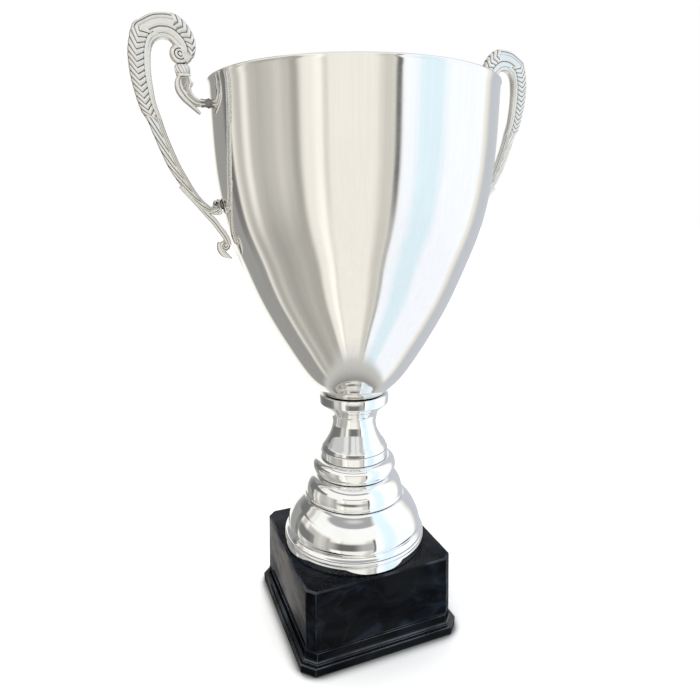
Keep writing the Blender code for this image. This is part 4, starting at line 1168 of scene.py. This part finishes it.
def make_studio():
    """Light by direction: upright cards over a pale base, a ceiling and a floor. The camera sees white."""
    world = bpy.data.worlds.new("studio")
    bpy.context.scene.world = world
    world.use_nodes = True
    tree = world.node_tree
    tree.nodes.clear()
    direction = node(tree, "TexCoord").outputs["Generated"]
    x, y, z = node(tree, "SeparateXYZ", {0: direction}).outputs
    rise = maths(tree, "MULTIPLY", maths(tree, "ARCSINE", z), 180 / math.pi)
    below = between(tree, rise, -6.0, -34.0)
    eye, under, tint = STUDIO_BASE
    tone = mixed(tree, below, tinted(eye, tint), tinted(under, tint))
    for _, centre, half, soft, eye, under, tint in STUDIO_CARDS:
        away = degrees_from(tree, x, y, centre)
        card = mixed(tree, below, tinted(eye, tint), tinted(under, tint))
        tone = mixed(tree, between(tree, away, half + soft, max(half - soft, 0.0)), tone, card)
    in_front = between(tree, degrees_from(tree, x, y, -20.0), 72.0, 58.0)
    over = product(tree, between(tree, rise, 11.0, 17.0), in_front)
    tone = mixed(tree, over, tone, tinted(CEILING, PLAIN))
    row = product(tree, between(tree, rise, 41.0, 45.0), between(tree, rise, 55.0, 50.0), in_front)
    tone = mixed(tree, row, tone, tinted(LAMP_ROW, (1, 1, 1)))
    tone = mixed(tree, between(tree, rise, 56.0, 66.0), tone, tinted(HIGH_CEILING, (1, 1, 1)))
    tone = mixed(tree, between(tree, rise, -66.0, -80.0), tone, tinted(UNDER, (1, 1, 1)))
    seen = node(tree, "LightPath").outputs["Is Camera Ray"]
    shown = mixed(tree, seen, tone, (1.0, 1.0, 1.0, 1))
    background = node(tree, "Background", {0: shown, 1: 1.0})
    tree.links.new(background.outputs[0], node(tree, "OutputWorld").inputs[0])


def card_material(name):
    """A material with an empty tree, and what its masks read: own x, y and z, ray length and slant."""
    material = bpy.data.materials.new(name)
    material.use_nodes = True
    tree = material.node_tree
    tree.nodes.clear()
    place = node(tree, "SeparateXYZ", {0: own_place(tree)}).outputs
    distance = node(tree, "LightPath").outputs["Ray Length"]
    slant = node(tree, "LayerWeight", {"Blend": 0.5}).outputs["Facing"]
    return material, tree, place, distance, slant


def hang_card(name, grid, material, shape, tone):
    """Puts the card up: it shows only in reflections, and only as far as its shape mask says."""
    tree = material.node_tree
    shown = product(tree, shape, node(tree, "LightPath").outputs["Is Glossy Ray"])
    glow = node(tree, "Emission", {0: tinted(1.0, PLAIN), 1: tone})
    clear = node(tree, "BsdfTransparent")
    either = node(tree, "MixShader", {0: shown, 1: clear.outputs[0], 2: glow.outputs[0]})
    tree.links.new(either.outputs[0], node(tree, "OutputMaterial").inputs[0])
    card = surface(name, grid, material)
    card.visible_camera = False
    card.visible_diffuse = False
    card.visible_shadow = False


def card_arc(start, end, bottom, top, steps):
    """The arc (R cos a, R sin a) between two angles from the camera's side, at two heights."""
    a = np.radians(CAMERA_SIDE + np.linspace(start, end, steps))
    edge = np.stack([CARD_RADIUS * np.cos(a), CARD_RADIUS * np.sin(a), np.full(steps, bottom)], axis=1)
    return np.stack([edge, edge + (0, 0, top - bottom)])


def make_near_card(name, heights, reach, dark, greys, distances):
    """A curved grey card close to the cup."""
    bottom, top = heights
    nearest, farthest = distances
    soft = 12 * MM
    material, tree, (x, y, z), distance, slant = card_material(name)
    shape = product(tree, between(tree, z, bottom, bottom + soft), between(tree, z, top, top - 2 * soft),
                    between(tree, degrees_from(tree, x, y, reach[0]), reach[1] + 1.0, reach[1] - 1.0),
                    between(tree, distance, nearest, nearest + 5 * MM),
                    between(tree, distance, farthest, farthest - 6 * MM))
    if nearest > STEM_CARDS_FROM:
        shape = product(tree, shape, between(tree, slant, STEEPEST, 0.7 * STEEPEST))
    tone = between(tree, degrees_from(tree, x, y, dark[0]), dark[1], dark[1] + 16.0, *greys)
    grid = card_arc(reach[0] - reach[1] - 2, reach[0] + reach[1] + 2, bottom, top, 41)
    hang_card(name, grid, material, shape, tone)


def make_neck_card():
    """Upright streaks that only the stem's neck reflects, where it looks up past the camera.

    At the same height on the card, a ray from the neck meets it at less of a slant than one from any piece
    below the neck does."""
    material, tree, (x, y, z), distance, slant = card_material("neck_card")
    line = maths(tree, "MULTIPLY", maths(tree, "SUBTRACT", z, NECK_HEIGHT), NECK_RISE)
    from_neck = between(tree, maths(tree, "SUBTRACT", slant, line), NECK_SLANT + 0.008, NECK_SLANT - 0.008)
    near_axis = between(tree, distance, CARD_RADIUS - 22 * MM, CARD_RADIUS - 17 * MM)
    side = between(tree, degrees_from(tree, x, y, -48), 91.0, 88.0)
    tone = NECK_TONE
    for centre, half, soft, streak in NECK_STREAKS:
        tone = blended(tree, between(tree, degrees_from(tree, x, y, centre), half + soft, half), tone, streak)
    grid = card_arc(-140, 44, 0.20, 0.45, 61)
    hang_card("neck_card", grid, material, product(tree, from_neck, near_axis, side), tone)


def make_plinth_glow():
    """A grey sheet just over the plinth's top, which only the lowest part of the bowl reflects."""
    half = 110 * MM
    height = high("plinth_casing").z + 0.4 * MM
    grid = np.array([[(-half, side, height), (half, side, height)] for side in (-half, half)])
    material, tree, _, distance, _ = card_material("plinth_glow")
    level = stretched(tree, own_place(tree), (1, 1, 0))
    from_axis = node(tree, "VectorMath", {0: level}, operation="LENGTH").outputs[1]
    shape = product(tree, between(tree, distance, 0.130, 0.136), between(tree, from_axis, half, 88 * MM))
    tone = between(tree, from_axis, 42 * MM, 92 * MM, 0.16, 0.62)
    hang_card("plinth_glow", grid, material, shape, tone)


def make_floor():
    """A plain pale floor. It is left out of reflections, where the studio's own floor shows."""
    side = 6.0
    mesh = bpy.data.meshes.new("floor")
    corners = [(-side, -side, 0), (side, -side, 0), (side, side, 0), (-side, side, 0)]
    mesh.from_pydata(corners, [], [(0, 1, 2, 3)])
    material, tree, shader = new_material("pale_floor", roughness=0.9, specular_ior_level=0.0)
    paper = noise(tree, own_place(tree), 700.0, detail=2)
    lit = mixed(tree, paper, (0.94, 0.94, 0.94, 1), (0.97, 0.97, 0.97, 1))
    open_share = node(tree, "AmbientOcclusion", {"Distance": CONTACT_SHADOW}).outputs["AO"]
    shade = between(tree, open_share, 0.50, 0.93, 0.85, 0.0)
    tree.links.new(mixed(tree, shade, lit, (0.10, 0.10, 0.10, 1)), shader.inputs["Base Color"])
    mesh.materials.append(material)
    floor = bpy.data.objects.new("floor", mesh)
    bpy.context.scene.collection.objects.link(floor)
    floor.visible_glossy = False


def make_sky_light():
    """Very soft light from overhead, the same all over the floor, for the floor and the matt surfaces."""
    light = bpy.data.lights.new("sky_light", "SUN")
    light.energy = SKY_LIGHT
    light.angle = math.radians(85)
    lamp = bpy.data.objects.new("sky_light", light)
    bpy.context.scene.collection.objects.link(lamp)
    lamp.rotation_euler = (math.radians(-14), math.radians(-10), 0)
    lamp.visible_glossy = False


def make_camera():
    """Stands a little left of the front face and looks slightly down, with a wide lens close to the cup."""
    turn, pitch, roll = (math.radians(v) for v in (CAMERA_TURN, CAMERA_PITCH, CAMERA_ROLL))
    ahead = Vector((math.sin(turn) * math.cos(pitch), math.cos(turn) * math.cos(pitch), -math.sin(pitch)))
    level = Vector((math.cos(turn), -math.sin(turn), 0))
    upright = level.cross(ahead)
    right = level * math.cos(roll) + upright * math.sin(roll)
    up = right.cross(ahead)
    camera = bpy.data.objects.new("camera", bpy.data.cameras.new("camera"))
    camera.data.sensor_width = 36
    camera.data.lens = CAMERA_LENS
    camera.data.clip_start = 0.01
    axes = Matrix((right, up, -ahead)).transposed().to_4x4()
    camera.matrix_world = Matrix.Translation(CAMERA_PLACE) @ axes
    bpy.context.scene.collection.objects.link(camera)
    bpy.context.scene.camera = camera


make_studio()
make_floor()
for card_name, settings in NEAR_CARDS.items():
    make_near_card(card_name, *settings)
make_neck_card()
make_plinth_glow()
make_sky_light()
make_camera()
bpy.context.scene.view_settings.view_transform = "Standard"
